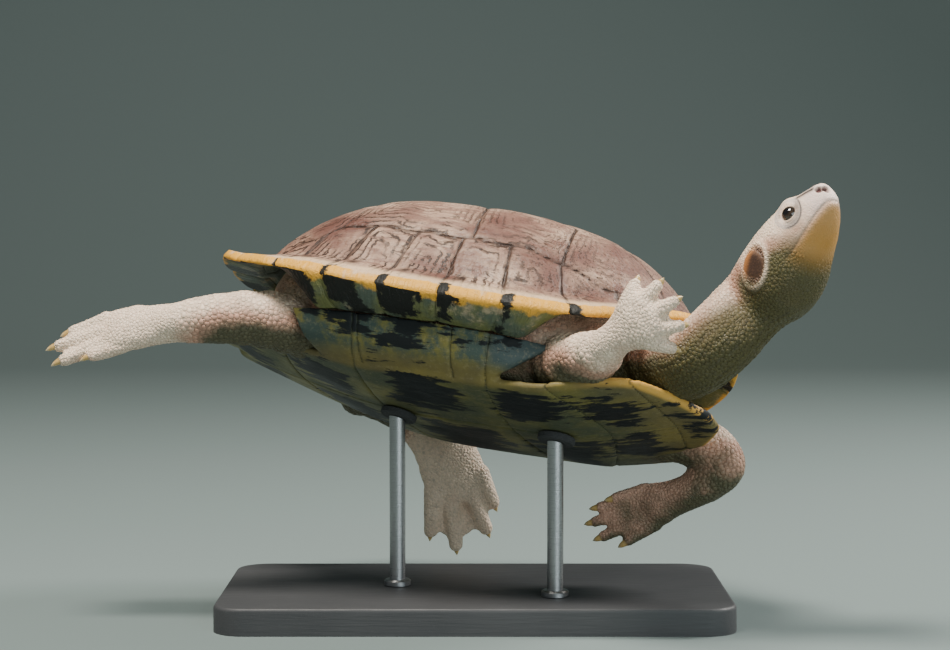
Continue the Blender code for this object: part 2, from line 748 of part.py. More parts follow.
def build_face(materials, parent):
    """Both eyes and both ears."""
    axes = head_axes()
    pieces = []
    for side, name in ((-1, "right"), (1, "left")):
        eye = (EYE_CENTRE[0], side * EYE_CENTRE[1], EYE_CENTRE[2])
        ear = (EAR_CENTRE[0], side * EAR_CENTRE[1], EAR_CENTRE[2])
        pieces.append(
            ellipsoid(f"eye_{name}", from_head(eye), (EYE_RADIUS,) * 3, axes, 10, 6, materials["eye"], parent)
        )
        pieces.append(
            ellipsoid(f"ear_{name}", from_head(ear), EAR_RADII, axes, 10, 5, materials["ear"], parent)
        )
    return pieces


def claw_direction(foot, index):
    """Claws carry on from their toes, bent a little towards the sole."""
    along = unit(foot.tips[index] - foot.toe_root(index))
    return unit(along * 0.97 + foot.normal() * 0.1)


def build_claws(name, foot, material, parent):
    """The claws of one foot, each a tapered and slightly bent cone."""
    claws = []
    for count, index in enumerate(foot.clawed, start=1):
        tip = foot.tips[index]
        along = claw_direction(foot, index)
        start = tip - along * 2.5
        middle = tip + along * foot.claw_length * 0.35
        end = tip + along * foot.claw_length - foot.normal() * 0.6
        stations = ((*start, 1.3, 1.2), (*middle, 1.25, 1.1), (*end, 0.45, 0.4))
        up = foot.normal()
        claws.append(tube(f"claw_{name}_{count}", stations, 5, 1, material, parent, up=up, round_end=1))
    return claws


def build_web(foot):
    """The skin between the toes, as a thin fan from the palm."""
    normal = foot.normal()
    rim = []
    for index, tip in enumerate(foot.tips):
        root = foot.toe_root(index)
        rim.append(root + (tip - root) * max(0.62, foot.web_reach))
        if index + 1 < len(foot.tips):
            after_root = foot.toe_root(index + 1)
            between_root = (root + after_root) / 2
            between_tip = (tip + foot.tips[index + 1]) / 2
            rim.append(between_root + (between_tip - between_root) * foot.web_reach)
    outline = [foot.palm + (foot.ankle - foot.palm) * 0.3] + rim
    points = [p + normal * 0.8 for p in outline] + [p - normal * 0.8 for p in outline]
    count = len(outline)
    faces = [(0, i, i + 1) for i in range(1, count - 1)]
    faces += [(count, count + i + 1, count + i) for i in range(1, count - 1)]
    faces += [(i, (i + 1) % count, (i + 1) % count + count, i + count) for i in range(count)]
    return add_mesh("web", points, faces, smooth=False)


def build_foot(name, foot, leg_rows, material, parent):
    """Palm, toes and web joined into one solid."""
    ankle_width, ankle_height = leg_rows[-1][3:5]
    back = unit(foot.palm - foot.ankle)
    start = foot.ankle - back * 2.0
    normal = foot.normal()
    palm_end = foot.palm + back * foot.palm_size * 0.5
    stations = (
        (*start, ankle_width * 0.97, ankle_height * 0.97),
        (*foot.palm, foot.palm_size, 4.6),
        (*palm_end, foot.palm_size * 0.86, 3.0),
    )
    whole = tube(name, stations, 16, 3, None, None, up=normal, round_end=2)
    pieces = [build_web(foot)]
    radius = foot.toe_radius
    for index, tip in enumerate(foot.tips):
        root = foot.toe_root(index)
        knuckle = root + (tip - root) * 0.55 - normal * 0.6
        toe = (
            (*root, radius * 1.25, radius * 1.1), (*knuckle, radius, radius),
            (*tip, radius * 0.82, radius * 0.8),
        )
        pieces.append(tube("toe", toe, 10, 2, None, None, up=normal, round_end=2))
    builder = bmesh.new()
    for piece in [whole, *pieces]:
        builder.from_mesh(piece.data)
    builder.to_mesh(whole.data)
    builder.free()
    for piece in pieces:
        discard(piece)
    remesh = whole.modifiers.new("union", "REMESH")
    remesh.mode = "VOXEL"
    remesh.voxel_size = 0.75 * MM
    smooth = whole.modifiers.new("smooth", "SMOOTH")
    smooth.iterations = 2
    apply_modifiers(whole)
    decimate = whole.modifiers.new("decimate", "DECIMATE")
    decimate.ratio = FOOT_TRIANGLES / (2 * len(whole.data.polygons))
    apply_modifiers(whole)
    whole.data.materials.clear()
    whole.data.materials.append(material)
    whole.parent = parent
    return whole


def swim_rotation():
    """The bank of the swimming turtle."""
    return (
        Matrix.Rotation(math.radians(SWIM_YAW), 3, "Z")
        @ Matrix.Rotation(math.radians(SWIM_PITCH), 3, "Y")
        @ Matrix.Rotation(math.radians(SWIM_ROLL), 3, "X")
    )


def build_pose():
    """The empty that carries the whole turtle."""
    pose = bpy.data.objects.new("turtle_pose", None)
    bpy.context.scene.collection.objects.link(pose)
    pose.rotation_euler = swim_rotation().to_euler()
    pose.location = (0, 0, SHELL_HEIGHT * MM)
    return pose


def build_base(material):
    """The stand's flat base, with round corners and softened edges."""
    builder = bmesh.new()
    bmesh.ops.create_cube(builder, size=1.0)
    bmesh.ops.scale(builder, vec=(BASE_LENGTH * MM, BASE_WIDTH * MM, BASE_THICKNESS * MM), verts=builder.verts)
    bmesh.ops.translate(builder, vec=(0, 0, BASE_THICKNESS * MM / 2), verts=builder.verts)
    upright = [e for e in builder.edges if abs(e.verts[0].co.z - e.verts[1].co.z) > 1e-4]
    bmesh.ops.bevel(builder, geom=upright, offset=BASE_CORNER * MM, segments=4, affect="EDGES", profile=0.5)
    level = [e for e in builder.edges if min(v.co.z for v in e.verts) > BASE_THICKNESS * MM - 1e-5]
    bmesh.ops.bevel(builder, geom=level, offset=BASE_EDGE * MM, segments=2, affect="EDGES", profile=0.5)
    mesh = bpy.data.meshes.new("stand_base")
    builder.to_mesh(mesh)
    builder.free()
    mesh.materials.append(material)
    base = bpy.data.objects.new("stand_base", mesh)
    bpy.context.scene.collection.objects.link(base)
    return base


def build_rod(name, station, material):
    """An upright rod and the pad on it, which lies along the plastron."""
    swim = swim_rotation()
    turtle = Vector((0, 0, SHELL_HEIGHT))
    touch = turtle + swim @ Vector(plastron_surface(station, 0.0))
    along = plastron_surface(station + 5.0, 0.0) - plastron_surface(station - 5.0, 0.0)
    normal = swim @ Vector(np.cross([0.0, 1.0, 0.0], along)).normalized()
    sides = 12
    across = normal.orthogonal().normalized()
    other = normal.cross(across)
    pad_rings = []
    for depth, radius in ((GAP, 1.0), (GAP + PAD_THICKNESS - 0.5, 1.0), (GAP + PAD_THICKNESS, 0.92)):
        centre = touch + normal * depth
        ring = []
        for side in range(sides):
            turn = 2 * math.pi * side / sides
            ring.append(centre + (across * math.cos(turn) + other * math.sin(turn)) * PAD_RADIUS * radius)
        pad_rings.append(ring)
    points, faces = rings_to_mesh(pad_rings, touch + normal * GAP, touch + normal * (GAP + PAD_THICKNESS))
    add_mesh(f"stand_pad_{name}", points, faces, material, smooth=False)
    under = touch + normal * (2 * GAP + PAD_THICKNESS)
    rings = []
    for level in ("low", "high"):
        ring = []
        for side in range(sides):
            turn = 2 * math.pi * side / sides
            x = under.x + ROD_RADIUS * math.cos(turn)
            y = under.y + ROD_RADIUS * math.sin(turn)
            slant = -((x - under.x) * normal.x + (y - under.y) * normal.y) / normal.z
            z = BASE_THICKNESS + GAP if level == "low" else under.z + slant
            ring.append((x, y, z))
        rings.append(ring)
    points, faces = rings_to_mesh(rings, (under.x, under.y, BASE_THICKNESS + GAP), tuple(under))
    add_mesh(f"stand_rod_{name}", points, faces, material, smooth=False)


def build_limb(limb, materials, pose, body_cutters):
    """One leg with its foot and claws."""
    name, rows, up = limb
    skin = materials["skin"]
    leg = tube(name, rows, 10, 2, skin, pose, up=up)
    leg_cutter = make_cutter(leg, pose)
    carve(leg, body_cutters)
    foot_name = name.replace("foreleg", "forefoot").replace("hind_leg", "hind_foot")
    foot = build_foot(foot_name, FEET[name], rows, skin, pose)
    claws = build_claws(foot_name.replace("_foot", "").replace("foot", ""), FEET[name], materials["horn"], pose)
    claw_cutters = [make_cutter(claw, pose) for claw in claws]
    carve(foot, [leg_cutter, *claw_cutters])
    for cutter in [leg_cutter, *claw_cutters]:
        discard(cutter)


def build_turtle(materials, pose):
    """Every piece of the animal, each carved clear of what it meets."""
    skin = materials["skin"]
    carapace = build_carapace(materials["shell"], pose)
    shell_cutters = [make_cutter(carapace, pose), *build_plastron(materials["plastron"], pose)]
    trunk = build_trunk(skin, pose)
    body_cutters = [make_cutter(trunk, pose), *shell_cutters]
    carve(trunk, shell_cutters)
    head, head_cutter = build_head(materials, pose)
    neck_end = [(*from_head((x, 0.0, z)), width, height) for x, z, width, height in NECK_IN_HEAD]
    neck = tube("neck", [*NECK, *neck_end], 14, 2, skin, pose, end_axis=head_axes()[0])
    carve(neck, [*body_cutters, head_cutter])
    face_cutters = [make_cutter(piece, pose) for piece in build_face(materials, pose)]
    carve(head, face_cutters)
    tail = tube("tail", TAIL, 8, 1, skin, pose, round_end=1)
    carve(tail, body_cutters)
    for limb in LIMBS:
        build_limb(limb, materials, pose, body_cutters)
    for cutter in [*body_cutters, head_cutter, *face_cutters]:
        discard(cutter)


def main():
    """Clears the scene and builds the turtle and its stand."""
    for obj in list(bpy.data.objects):
        bpy.data.objects.remove(obj)
    materials = {
        "shell": make_material("shell", (0.50, 0.40, 0.35), 0.55),
        "plastron": make_material("plastron", (0.25, 0.22, 0.10), 0.5),
        "skin": make_material("skin", SKIN_COLOUR, 0.5),
        "horn": make_material("horn", HORN_COLOUR, 0.4),
        "eye": make_material("eye", (0.02, 0.015, 0.01), 0.08),
        "ear": make_material("ear", (0.18, 0.10, 0.06), 0.5),
        "stand": make_material("stand", STAND_COLOUR, 0.45),
    }
    pose = build_pose()
    bpy.context.view_layer.update()
    build_turtle(materials, pose)
    build_base(materials["stand"])
    for name, station in ROD_STATIONS.items():
        build_rod(name, station, materials["stand"])


main()
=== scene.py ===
"""The looks of a life-size pond turtle, which swims over the floor on a plain display stand.

The turtle's pieces are worked out in the turtle's own frame, in millimetres: x runs from tail to
head, y to its left and z up through its back.  SwimPose banks them and puts them in the frame of
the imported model, in metres.
"""

import logging
import math
from dataclasses import dataclass, field
from enum import Enum

import bmesh
import bpy
import numpy as np
from mathutils import Matrix


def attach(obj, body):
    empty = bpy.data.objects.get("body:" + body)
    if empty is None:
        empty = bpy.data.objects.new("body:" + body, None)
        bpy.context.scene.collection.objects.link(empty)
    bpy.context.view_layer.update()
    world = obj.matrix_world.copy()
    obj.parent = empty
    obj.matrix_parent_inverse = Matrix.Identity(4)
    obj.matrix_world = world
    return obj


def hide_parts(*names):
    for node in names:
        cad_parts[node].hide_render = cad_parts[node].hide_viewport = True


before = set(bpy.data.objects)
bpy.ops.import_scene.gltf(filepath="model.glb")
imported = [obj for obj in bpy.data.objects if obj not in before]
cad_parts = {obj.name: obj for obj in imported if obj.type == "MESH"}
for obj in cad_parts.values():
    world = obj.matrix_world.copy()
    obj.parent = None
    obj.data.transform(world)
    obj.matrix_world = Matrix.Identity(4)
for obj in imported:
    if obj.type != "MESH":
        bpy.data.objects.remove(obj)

Array = np.ndarray
Piece = bpy.types.Object
Material = bpy.types.Material
Node = bpy.types.Node
Socket = bpy.types.NodeSocket
Tree = bpy.types.NodeTree
Colour = tuple[float, float, float]

MM = 0.001
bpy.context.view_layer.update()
logging.basicConfig(level=logging.INFO, format="%(message)s")
log = logging.getLogger("turtle")


# ---------------------------------------------------------------------------------------------
# Numbers and shapes


def unit(vector: Array) -> Array:
    """The vector at length one."""
    return np.asarray(vector, float) / np.linalg.norm(vector)


def smooth_step(value: Array, low: float, high: float) -> Array:
    """0 below low, 1 above high, and a smooth rise between."""
    share = np.clip((np.asarray(value, float) - low) / (high - low), 0.0, 1.0)
    return share * share * (3 - 2 * share)


def bell(value: Array, middle: float, spread: float) -> Array:
    """A smooth bump of height one round the middle."""
    return np.exp(-(((np.asarray(value, float) - middle) / spread) ** 2))


def soft_max(first: Array, second: Array, blend: Array) -> Array:
    """The larger of the two, with the corner between them rounded."""
    return 0.5 * (first + second + np.sqrt((first - second) ** 2 + blend**2))


def turns_round(count: int) -> Array:
    """Evenly spaced angles once round."""
    return np.linspace(0, 2 * np.pi, count, endpoint=False)


def squared(wave: Array, power: float) -> Array:
    """A sine or cosine whose curve is squarer for powers under one."""
    return np.sign(wave) * np.abs(wave) ** power


def along_run(points: Array, start: Array, end: Array) -> tuple[Array, Array]:
    """How far along a straight run points lie, from 0 to 1, and how far off it."""
    run = end - start
    share = np.clip((points - start) @ run / (run @ run), 0, 1)
    return share, np.linalg.norm(points - start - share[:, None] * run, axis=1)


def hash_noise(cells: Array, seed: int) -> Array:
    """A fixed number from 0 to 1 for each whole-numbered cell.

    Args:
        cells: Rows of three whole numbers.
        seed: Changes the pattern.

    Returns:
        One number for each row.
    """
    mixed = cells[:, 0] * 374761393 + cells[:, 1] * 668265263 + cells[:, 2] * 2147483647 + seed * 1274126177
    mixed = (mixed ^ (mixed >> 13)) * 1274126177
    mixed = mixed ^ (mixed >> 16)
    return (mixed & 0xFFFFFF).astype(float) / 0xFFFFFF


def noise(points: Array, size: float, seed: int = 0, layers: int = 2) -> Array:
    """Smooth noise from -1 to 1.

    Args:
        points: Rows of x, y and z, in millimetres.
        size: The width of the largest lumps, in millimetres.
        seed: Changes the pattern.
        layers: How many finer layers are added.

    Returns:
        One number for each point.
    """
    total = np.zeros(len(points))
    weight, whole = 1.0, 0.0
    for layer in range(layers):
        scaled = np.asarray(points, float) * (2**layer / size) + 37.7 * layer
        low = np.floor(scaled).astype(np.int64)
        part = scaled - low
        part = part * part * (3 - 2 * part)
        value = np.zeros(len(points))
        for corner in range(8):
            step = np.array([corner & 1, (corner >> 1) & 1, corner >> 2])
            share = np.prod(np.where(step, part, 1 - part), axis=1)
            value += share * hash_noise(low + step, seed + layer)
        total += (2 * value - 1) * weight
        whole += weight
        weight *= 0.5
    return total / whole


def catmull_rom(stations: tuple, per_span: int) -> Array:
    """A smooth run of rows through rows of numbers.

    Args:
        stations: The rows that the curve goes through.
        per_span: How many rows each span gets.

    Returns:
        The rows, the last station included.
    """
    rows = np.array(stations, float)
    padded = np.vstack([2 * rows[0] - rows[1], rows, 2 * rows[-1] - rows[-2]])
    result = []
    for span in range(len(rows) - 1):
        before, start, end, after = padded[span : span + 4]
        for t in np.arange(per_span) / per_span:
            result.append(
                0.5 * (
                    2 * start + (end - before) * t
                    + (2 * before - 5 * start + 4 * end - after) * t**2
                    + (3 * start - before - 3 * end + after) * t**3
                )
            )
    result.append(rows[-1])
    return np.array(result)


@dataclass
class Shape:
    """Points in millimetres, with faces of four and of three corners."""

    points: Array
    quads: Array
    triangles: Array

    def joined(self, other: "Shape") -> "Shape":
        """This shape and another one as a single shape."""
        shift = len(self.points)
        return Shape(
            np.vstack([self.points, other.points]),
            np.vstack([self.quads, other.quads + shift]),
            np.vstack([self.triangles, other.triangles + shift]),
        )

    def outward(self) -> "Shape":
        """The same closed shape with its faces turned outwards."""
        a, b, c, d = (self.points[self.quads[:, k]] for k in range(4))
        volume = np.einsum("ij,ij->", a, np.cross(b, c)) + np.einsum("ij,ij->", a, np.cross(c, d))
        if len(self.triangles):
            a, b, c = (self.points[self.triangles[:, k]] for k in range(3))
            volume += np.einsum("ij,ij->", a, np.cross(b, c))
        if volume > 0:
            return self
        return Shape(self.points, self.quads[:, ::-1], self.triangles[:, ::-1])


def loft(rings: Array, first_pole: Array | None = None, last_pole: Array | None = None) -> Shape:
    """A closed skin through rings of equal count.

    Args:
        rings: The rings, as an array of ring, side and coordinate.
        first_pole: The point that closes the first ring; its middle if none is given.
        last_pole: The point that closes the last ring; its middle if none is given.

    Returns:
        The shape, with its faces turned outwards.
    """
    rings = np.asarray(rings)
    first_pole = rings[0].mean(axis=0) if first_pole is None else first_pole
    last_pole = rings[-1].mean(axis=0) if last_pole is None else last_pole
    count, sides = rings.shape[:2]
    side = np.arange(sides)
    after = (side + 1) % sides
    low = (np.arange(count - 1) * sides)[:, None]
    corners = [low + side, low + after, low + sides + after, low + sides + side]
    quads = np.stack(corners, axis=2).reshape(-1, 4)
    points = np.vstack([rings.reshape(-1, 3), first_pole, last_pole])
    first, last, edge = count * sides, count * sides + 1, (count - 1) * sides
    caps = np.vstack([
        np.stack([np.full(sides, first), after, side], axis=1),
        np.stack([np.full(sides, last), edge + side, edge + after], axis=1),
    ])
    return Shape(points, quads, caps).outward()


@dataclass(frozen=True)
class SwimPose:
    """How the turtle swims: its heading, the dip of its head and the lift of its right side."""

    yaw: float = -22.3
    pitch: float = 5.4
    roll: float = -22.8
    height: float = 100.0

    def matrix(self) -> Array:
        """The turn from the turtle's frame to the model's."""
        turn = (
            Matrix.Rotation(math.radians(self.yaw), 3, "Z")
            @ Matrix.Rotation(math.radians(self.pitch), 3, "Y")
            @ Matrix.Rotation(math.radians(self.roll), 3, "X")
        )
        return np.array(turn)

    def to_model(self, points: Array) -> Array:
        """Points of the turtle's frame, in millimetres, in the model's frame, in metres."""
        return (np.asarray(points, float) @ self.matrix().T + np.array([0.0, 0.0, self.height])) * MM

    def to_turtle(self, points: Array) -> Array:
        """Points of the model's frame, in metres, in the turtle's frame, in millimetres."""
        return (np.asarray(points, float) / MM - np.array([0.0, 0.0, self.height])) @ self.matrix()


POSE = SwimPose()


def add_object(name: str, data: object) -> Piece:
    """A new object in the scene that shows a mesh, a light or a camera."""
    obj = bpy.data.objects.new(name, data)
    bpy.context.scene.collection.objects.link(obj)
    return obj


def make_mesh(name: str, shape: Shape, place: bool = True) -> Piece:
    """An object from a shape in millimetres, smooth shaded, with its place in its mesh.

    Args:
        name: The object's name.
        shape: Its points and faces.
        place: Whether the points are in the turtle's frame; the model's frame otherwise.

    Returns:
        The linked object.
    """
    mesh = bpy.data.meshes.new(name)
    points = POSE.to_model(shape.points) if place else shape.points * MM
    corners = np.concatenate([shape.quads.ravel(), shape.triangles.ravel()]).astype(np.int32)
    starts = np.concatenate([
        np.arange(len(shape.quads)) * 4,
        4 * len(shape.quads) + np.arange(len(shape.triangles)) * 3,
    ]).astype(np.int32)
    mesh.vertices.add(len(points))
    mesh.vertices.foreach_set("co", points.astype(np.float32).ravel())
    mesh.loops.add(len(corners))
    mesh.loops.foreach_set("vertex_index", corners)
    mesh.polygons.add(len(starts))
    mesh.polygons.foreach_set("loop_start", starts)
    mesh.update(calc_edges=True)
    mesh.validate()
    mesh.shade_smooth()
    return add_object(name, mesh)


def read(items: object, name: str) -> Array:
    """Three numbers of each item of a mesh."""
    values = np.zeros(len(items) * 3, np.float32)
    items.foreach_get(name, values)
    return values.reshape(-1, 3).astype(float)


def mesh_points(obj: Piece) -> Array:
    """The object's points in the model's frame, in metres."""
    return read(obj.data.vertices, "co")


def mesh_normals(obj: Piece) -> Array:
    """The object's outward directions at its points, in the model's frame."""
    return read(obj.data.vertex_normals, "vector")


def set_points(obj: Piece, points: Array) -> None:
    """Moves the object's points to places in the model's frame, in metres."""
    obj.data.vertices.foreach_set("co", points.astype(np.float32).ravel())
    obj.data.update()


def raise_points(obj: Piece, relief: Array) -> None:
    """Moves each point out along its normal by its relief in millimetres."""
    set_points(obj, mesh_points(obj) + mesh_normals(obj) * relief[:, None] * MM)


def store(obj: Piece, **fields: Array) -> None:
    """Keeps one number or one vector for each point under each name, for the materials to read."""
    for name, values in fields.items():
        values = np.asarray(values, np.float32)
        kind, part = ("FLOAT", "value") if values.ndim == 1 else ("FLOAT_VECTOR", "vector")
        obj.data.attributes.new(name, kind, "POINT").data.foreach_set(part, values.ravel())


def apply_modifiers(obj: Piece) -> None:
    """Makes what the modifiers give the object's own mesh."""
    graph = bpy.context.evaluated_depsgraph_get()
    mesh = bpy.data.meshes.new_from_object(obj.evaluated_get(graph))
    obj.modifiers.clear()
    obj.data = mesh


def make_union(name: str, shape: Shape, voxel: float, rounds: int) -> Piece:
    """One smooth outer skin round closed shapes that overlap.

    Args:
        name: The object's name.
        shape: The shapes.
        voxel: The size of the skin's faces in millimetres.
        rounds: How often the skin is smoothed.

    Returns:
        The linked object.
    """
    obj = make_mesh(name, shape)
    union = obj.modifiers.new("union", "REMESH")
    union.mode, union.voxel_size = "VOXEL", voxel * MM
    smooth = obj.modifiers.new("smooth", "SMOOTH")
    smooth.factor, smooth.iterations = 0.5, rounds
    apply_modifiers(obj)
    return obj


def finish_piece(obj: Piece, material: Material, nodes: list[str]) -> None:
    """Dresses a piece, lets it ride on the model and hides the nodes that it stands for.

    Args:
        obj: The piece.
        material: Its material.
        nodes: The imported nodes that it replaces.
    """
    obj.data.materials.clear()
    obj.data.materials.append(material)
    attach(obj, "root")
    if nodes:
        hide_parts(*nodes)
    log.info("%s: %d faces, in place of %s", obj.name, len(obj.data.polygons), ", ".join(nodes) or "nothing")


# ---------------------------------------------------------------------------------------------
# Materials


class Kit:
    """Adds and links the nodes of one material or node group."""

    def __init__(self, tree: Tree) -> None:
        """Keeps the tree that the nodes go into."""
        self.tree = tree

    def add(self, kind: str, **settings: object) -> Node:
        """A node of that kind with its settings."""
        node = self.tree.nodes.new(kind)
        for name, value in settings.items():
            setattr(node, name, value)
        return node

    def feed(self, node: Node, **values: object) -> Node:
        """Sets or links inputs by name, with an underscore for a space."""
        for name, value in values.items():
            self.put(node.inputs[name.replace("_", " ")], value)
        return node

    def put(self, socket: Socket, value: object) -> None:
        """Links a socket to another one, or sets its constant."""
        if isinstance(value, Socket):
            self.tree.links.new(value, socket)
        elif isinstance(value, tuple) and socket.type == "RGBA":
            socket.default_value = (*value, 1.0)
        else:
            socket.default_value = value

    def math(self, operation: str, first: object, second: object = 0.0) -> Socket:
        """The result of a Math node."""
        node = self.add("ShaderNodeMath", operation=operation)
        self.put(node.inputs[0], first)
        self.put(node.inputs[1], second)
        return node.outputs[0]

    def times(self, first: object, second: object) -> Socket:
        """Two numbers multiplied."""
        return self.math("MULTIPLY", first, second)

    def plus(self, first: object, second: object) -> Socket:
        """Two numbers added."""
        return self.math("ADD", first, second)

    def centred(self, value: object) -> Socket:
        """A number from 0 to 1, moved to lie round 0."""
        return self.math("SUBTRACT", value, 0.5)

    def mix(self, factor: object, first: object, second: object) -> Socket:
        """Two colours mixed by a factor."""
        node = self.add("ShaderNodeMix", data_type="RGBA")
        for index, value in ((0, factor), (6, first), (7, second)):
            self.put(node.inputs[index], value)
        return node.outputs[2]

    def painted(self, base: object, layers: dict[str, object]) -> Socket:
        """A colour with others laid over it, each by the mask of its name."""
        for name, colour in layers.items():
            base = self.mix(self.number(name), base, colour)
        return base

    def ramp(
        self, value: object, low: float, high: float, start: float = 0.0, end: float = 1.0
    ) -> Socket:
        """A smooth rise from start to end as the value goes from low to high."""
        node = self.add("ShaderNodeMapRange", interpolation_type="SMOOTHSTEP")
        for socket, number in zip(node.inputs, (value, low, high, start, end)):
            self.put(socket, number)
        return node.outputs[0]

    def number(self, name: str) -> Socket:
        """One number that the mesh keeps at each point."""
        return self.add("ShaderNodeAttribute", attribute_name=name).outputs["Fac"]

    def place(self) -> Socket:
        """Each point's place on the turtle."""
        return self.add("ShaderNodeAttribute", attribute_name="place").outputs["Vector"]

    def object_place(self) -> Socket:
        """Each point's place in its object's frame."""
        return self.add("ShaderNodeTexCoord").outputs["Object"]

    def noise(
        self, vector: object, scale: float, detail: float = 3.0, rough: float = 0.55, warp: float = 0.0
    ) -> Socket:
        """Noise from 0 to 1; scale counts lumps in a metre."""
        node = self.add("ShaderNodeTexNoise")
        self.feed(node, Vector=vector, Scale=scale, Detail=detail, Roughness=rough, Distortion=warp)
        return node.outputs["Fac"]

    def stretch(self, vector: object, scale: tuple) -> Socket:
        """The vector with each coordinate multiplied."""
        node = self.add("ShaderNodeMapping")
        self.put(node.inputs["Vector"], vector)
        node.inputs["Scale"].default_value = scale
        return node.outputs[0]


class Group:
    """A shader node group that more than one material uses."""

    def __init__(self, name: str, inputs: dict[str, float], outputs: list[str]) -> None:
        """Makes the group with its number inputs, a Place vector input and its number outputs."""
        self.tree = bpy.data.node_groups.new(name, "ShaderNodeTree")
        self.tree.interface.new_socket("Place", in_out="INPUT", socket_type="NodeSocketVector")
        for label, value in inputs.items():
            socket = self.tree.interface.new_socket(label, in_out="INPUT", socket_type="NodeSocketFloat")
            socket.default_value = value
        for label in outputs:
            self.tree.interface.new_socket(label, in_out="OUTPUT", socket_type="NodeSocketFloat")
        self.kit = Kit(self.tree)
        self.inputs = self.kit.add("NodeGroupInput")
        self.outputs = self.kit.add("NodeGroupOutput")

    def use(self, kit: Kit, place: object, **values: object) -> Node:
        """A copy of the group in a material, with its own values."""
        return kit.feed(kit.add("ShaderNodeGroup", node_tree=self.tree), Place=place, **values)


def grime_group() -> Group:
    """Soft blotches and fine specks, as on any old horn or skin."""
    group = Group(
        "grime", {"Blotch Scale": 60.0, "Speck Scale": 900.0, "Speck Amount": 0.4}, ["Blotches", "Specks"]
    )
    kit, given = group.kit, group.inputs.outputs
    blotches = kit.ramp(kit.noise(given["Place"], given["Blotch Scale"], 5.0, 0.6), 0.35, 0.68)
    specks = kit.ramp(kit.noise(given["Place"], given["Speck Scale"], 3.0, 0.7), 0.54, 0.66)
    kit.feed(group.outputs, Blotches=blotches, Specks=kit.times(specks, given["Speck Amount"]))
    return group


def pebble_group() -> Group:
    """Small rounded skin scales parted by fine creases."""
    group = Group("pebbles", {"Scale": 700.0, "Crease": 0.12}, ["Height", "Creases"])
    kit, given = group.kit, group.inputs.outputs
    warp = kit.feed(kit.add("ShaderNodeTexNoise"), Vector=given["Place"], Scale=350.0, Detail=2.0)
    bent = kit.add("ShaderNodeVectorMath", operation="MULTIPLY_ADD")
    for socket, value in zip(bent.inputs, (warp.outputs["Color"], (0.0012,) * 3, given["Place"])):
        kit.put(socket, value)
    edges = kit.add("ShaderNodeTexVoronoi", feature="DISTANCE_TO_EDGE")
    edge = kit.feed(edges, Vector=bent.outputs[0], Scale=given["Scale"]).outputs["Distance"]
    low = kit.add("ShaderNodeMapRange")
    kit.feed(low, Value=edge, From_Max=given["Crease"], To_Min=1.0, To_Max=0.0)
    height = kit.math("POWER", kit.ramp(edge, 0.0, 0.42), 0.6)
    kit.feed(group.outputs, Height=height, Creases=low.outputs[0])
    return group


@dataclass
class Groups:
    """The node groups that the materials share."""

    grime: Group = field(default_factory=grime_group)
    pebbles: Group = field(default_factory=pebble_group)


class Finish:
    """A material in the making: its kit and its Principled BSDF."""

    def __init__(self, name: str, roughness: float, **constants: float) -> None:
        """Starts the material with the numbers that are the same all over."""
        self.material = bpy.data.materials.new(name)
        self.material.use_nodes = True
        self.kit = Kit(self.material.node_tree)
        self.shader = self.material.node_tree.nodes["Principled BSDF"]
        self.shader.inputs["Roughness"].default_value = roughness
        for label, value in constants.items():
            self.shader.inputs[label.replace("_", " ")].default_value = value

    def colour(self, socket: object) -> None:
        """Feeds the base colour."""
        self.kit.put(self.shader.inputs["Base Color"], socket)

    def roughness(self, socket: object) -> None:
        """Feeds the roughness."""
        self.kit.put(self.shader.inputs["Roughness"], socket)

    def bump(self, height: object, distance: float, strength: float = 1.0) -> None:
        """Feeds the normal from a height, whose full reach is the distance in metres."""
        node = self.kit.add("ShaderNodeBump")
        self.kit.feed(node, Height=height, Distance=distance, Strength=strength)
        self.kit.put(self.shader.inputs["Normal"], node.outputs["Normal"])


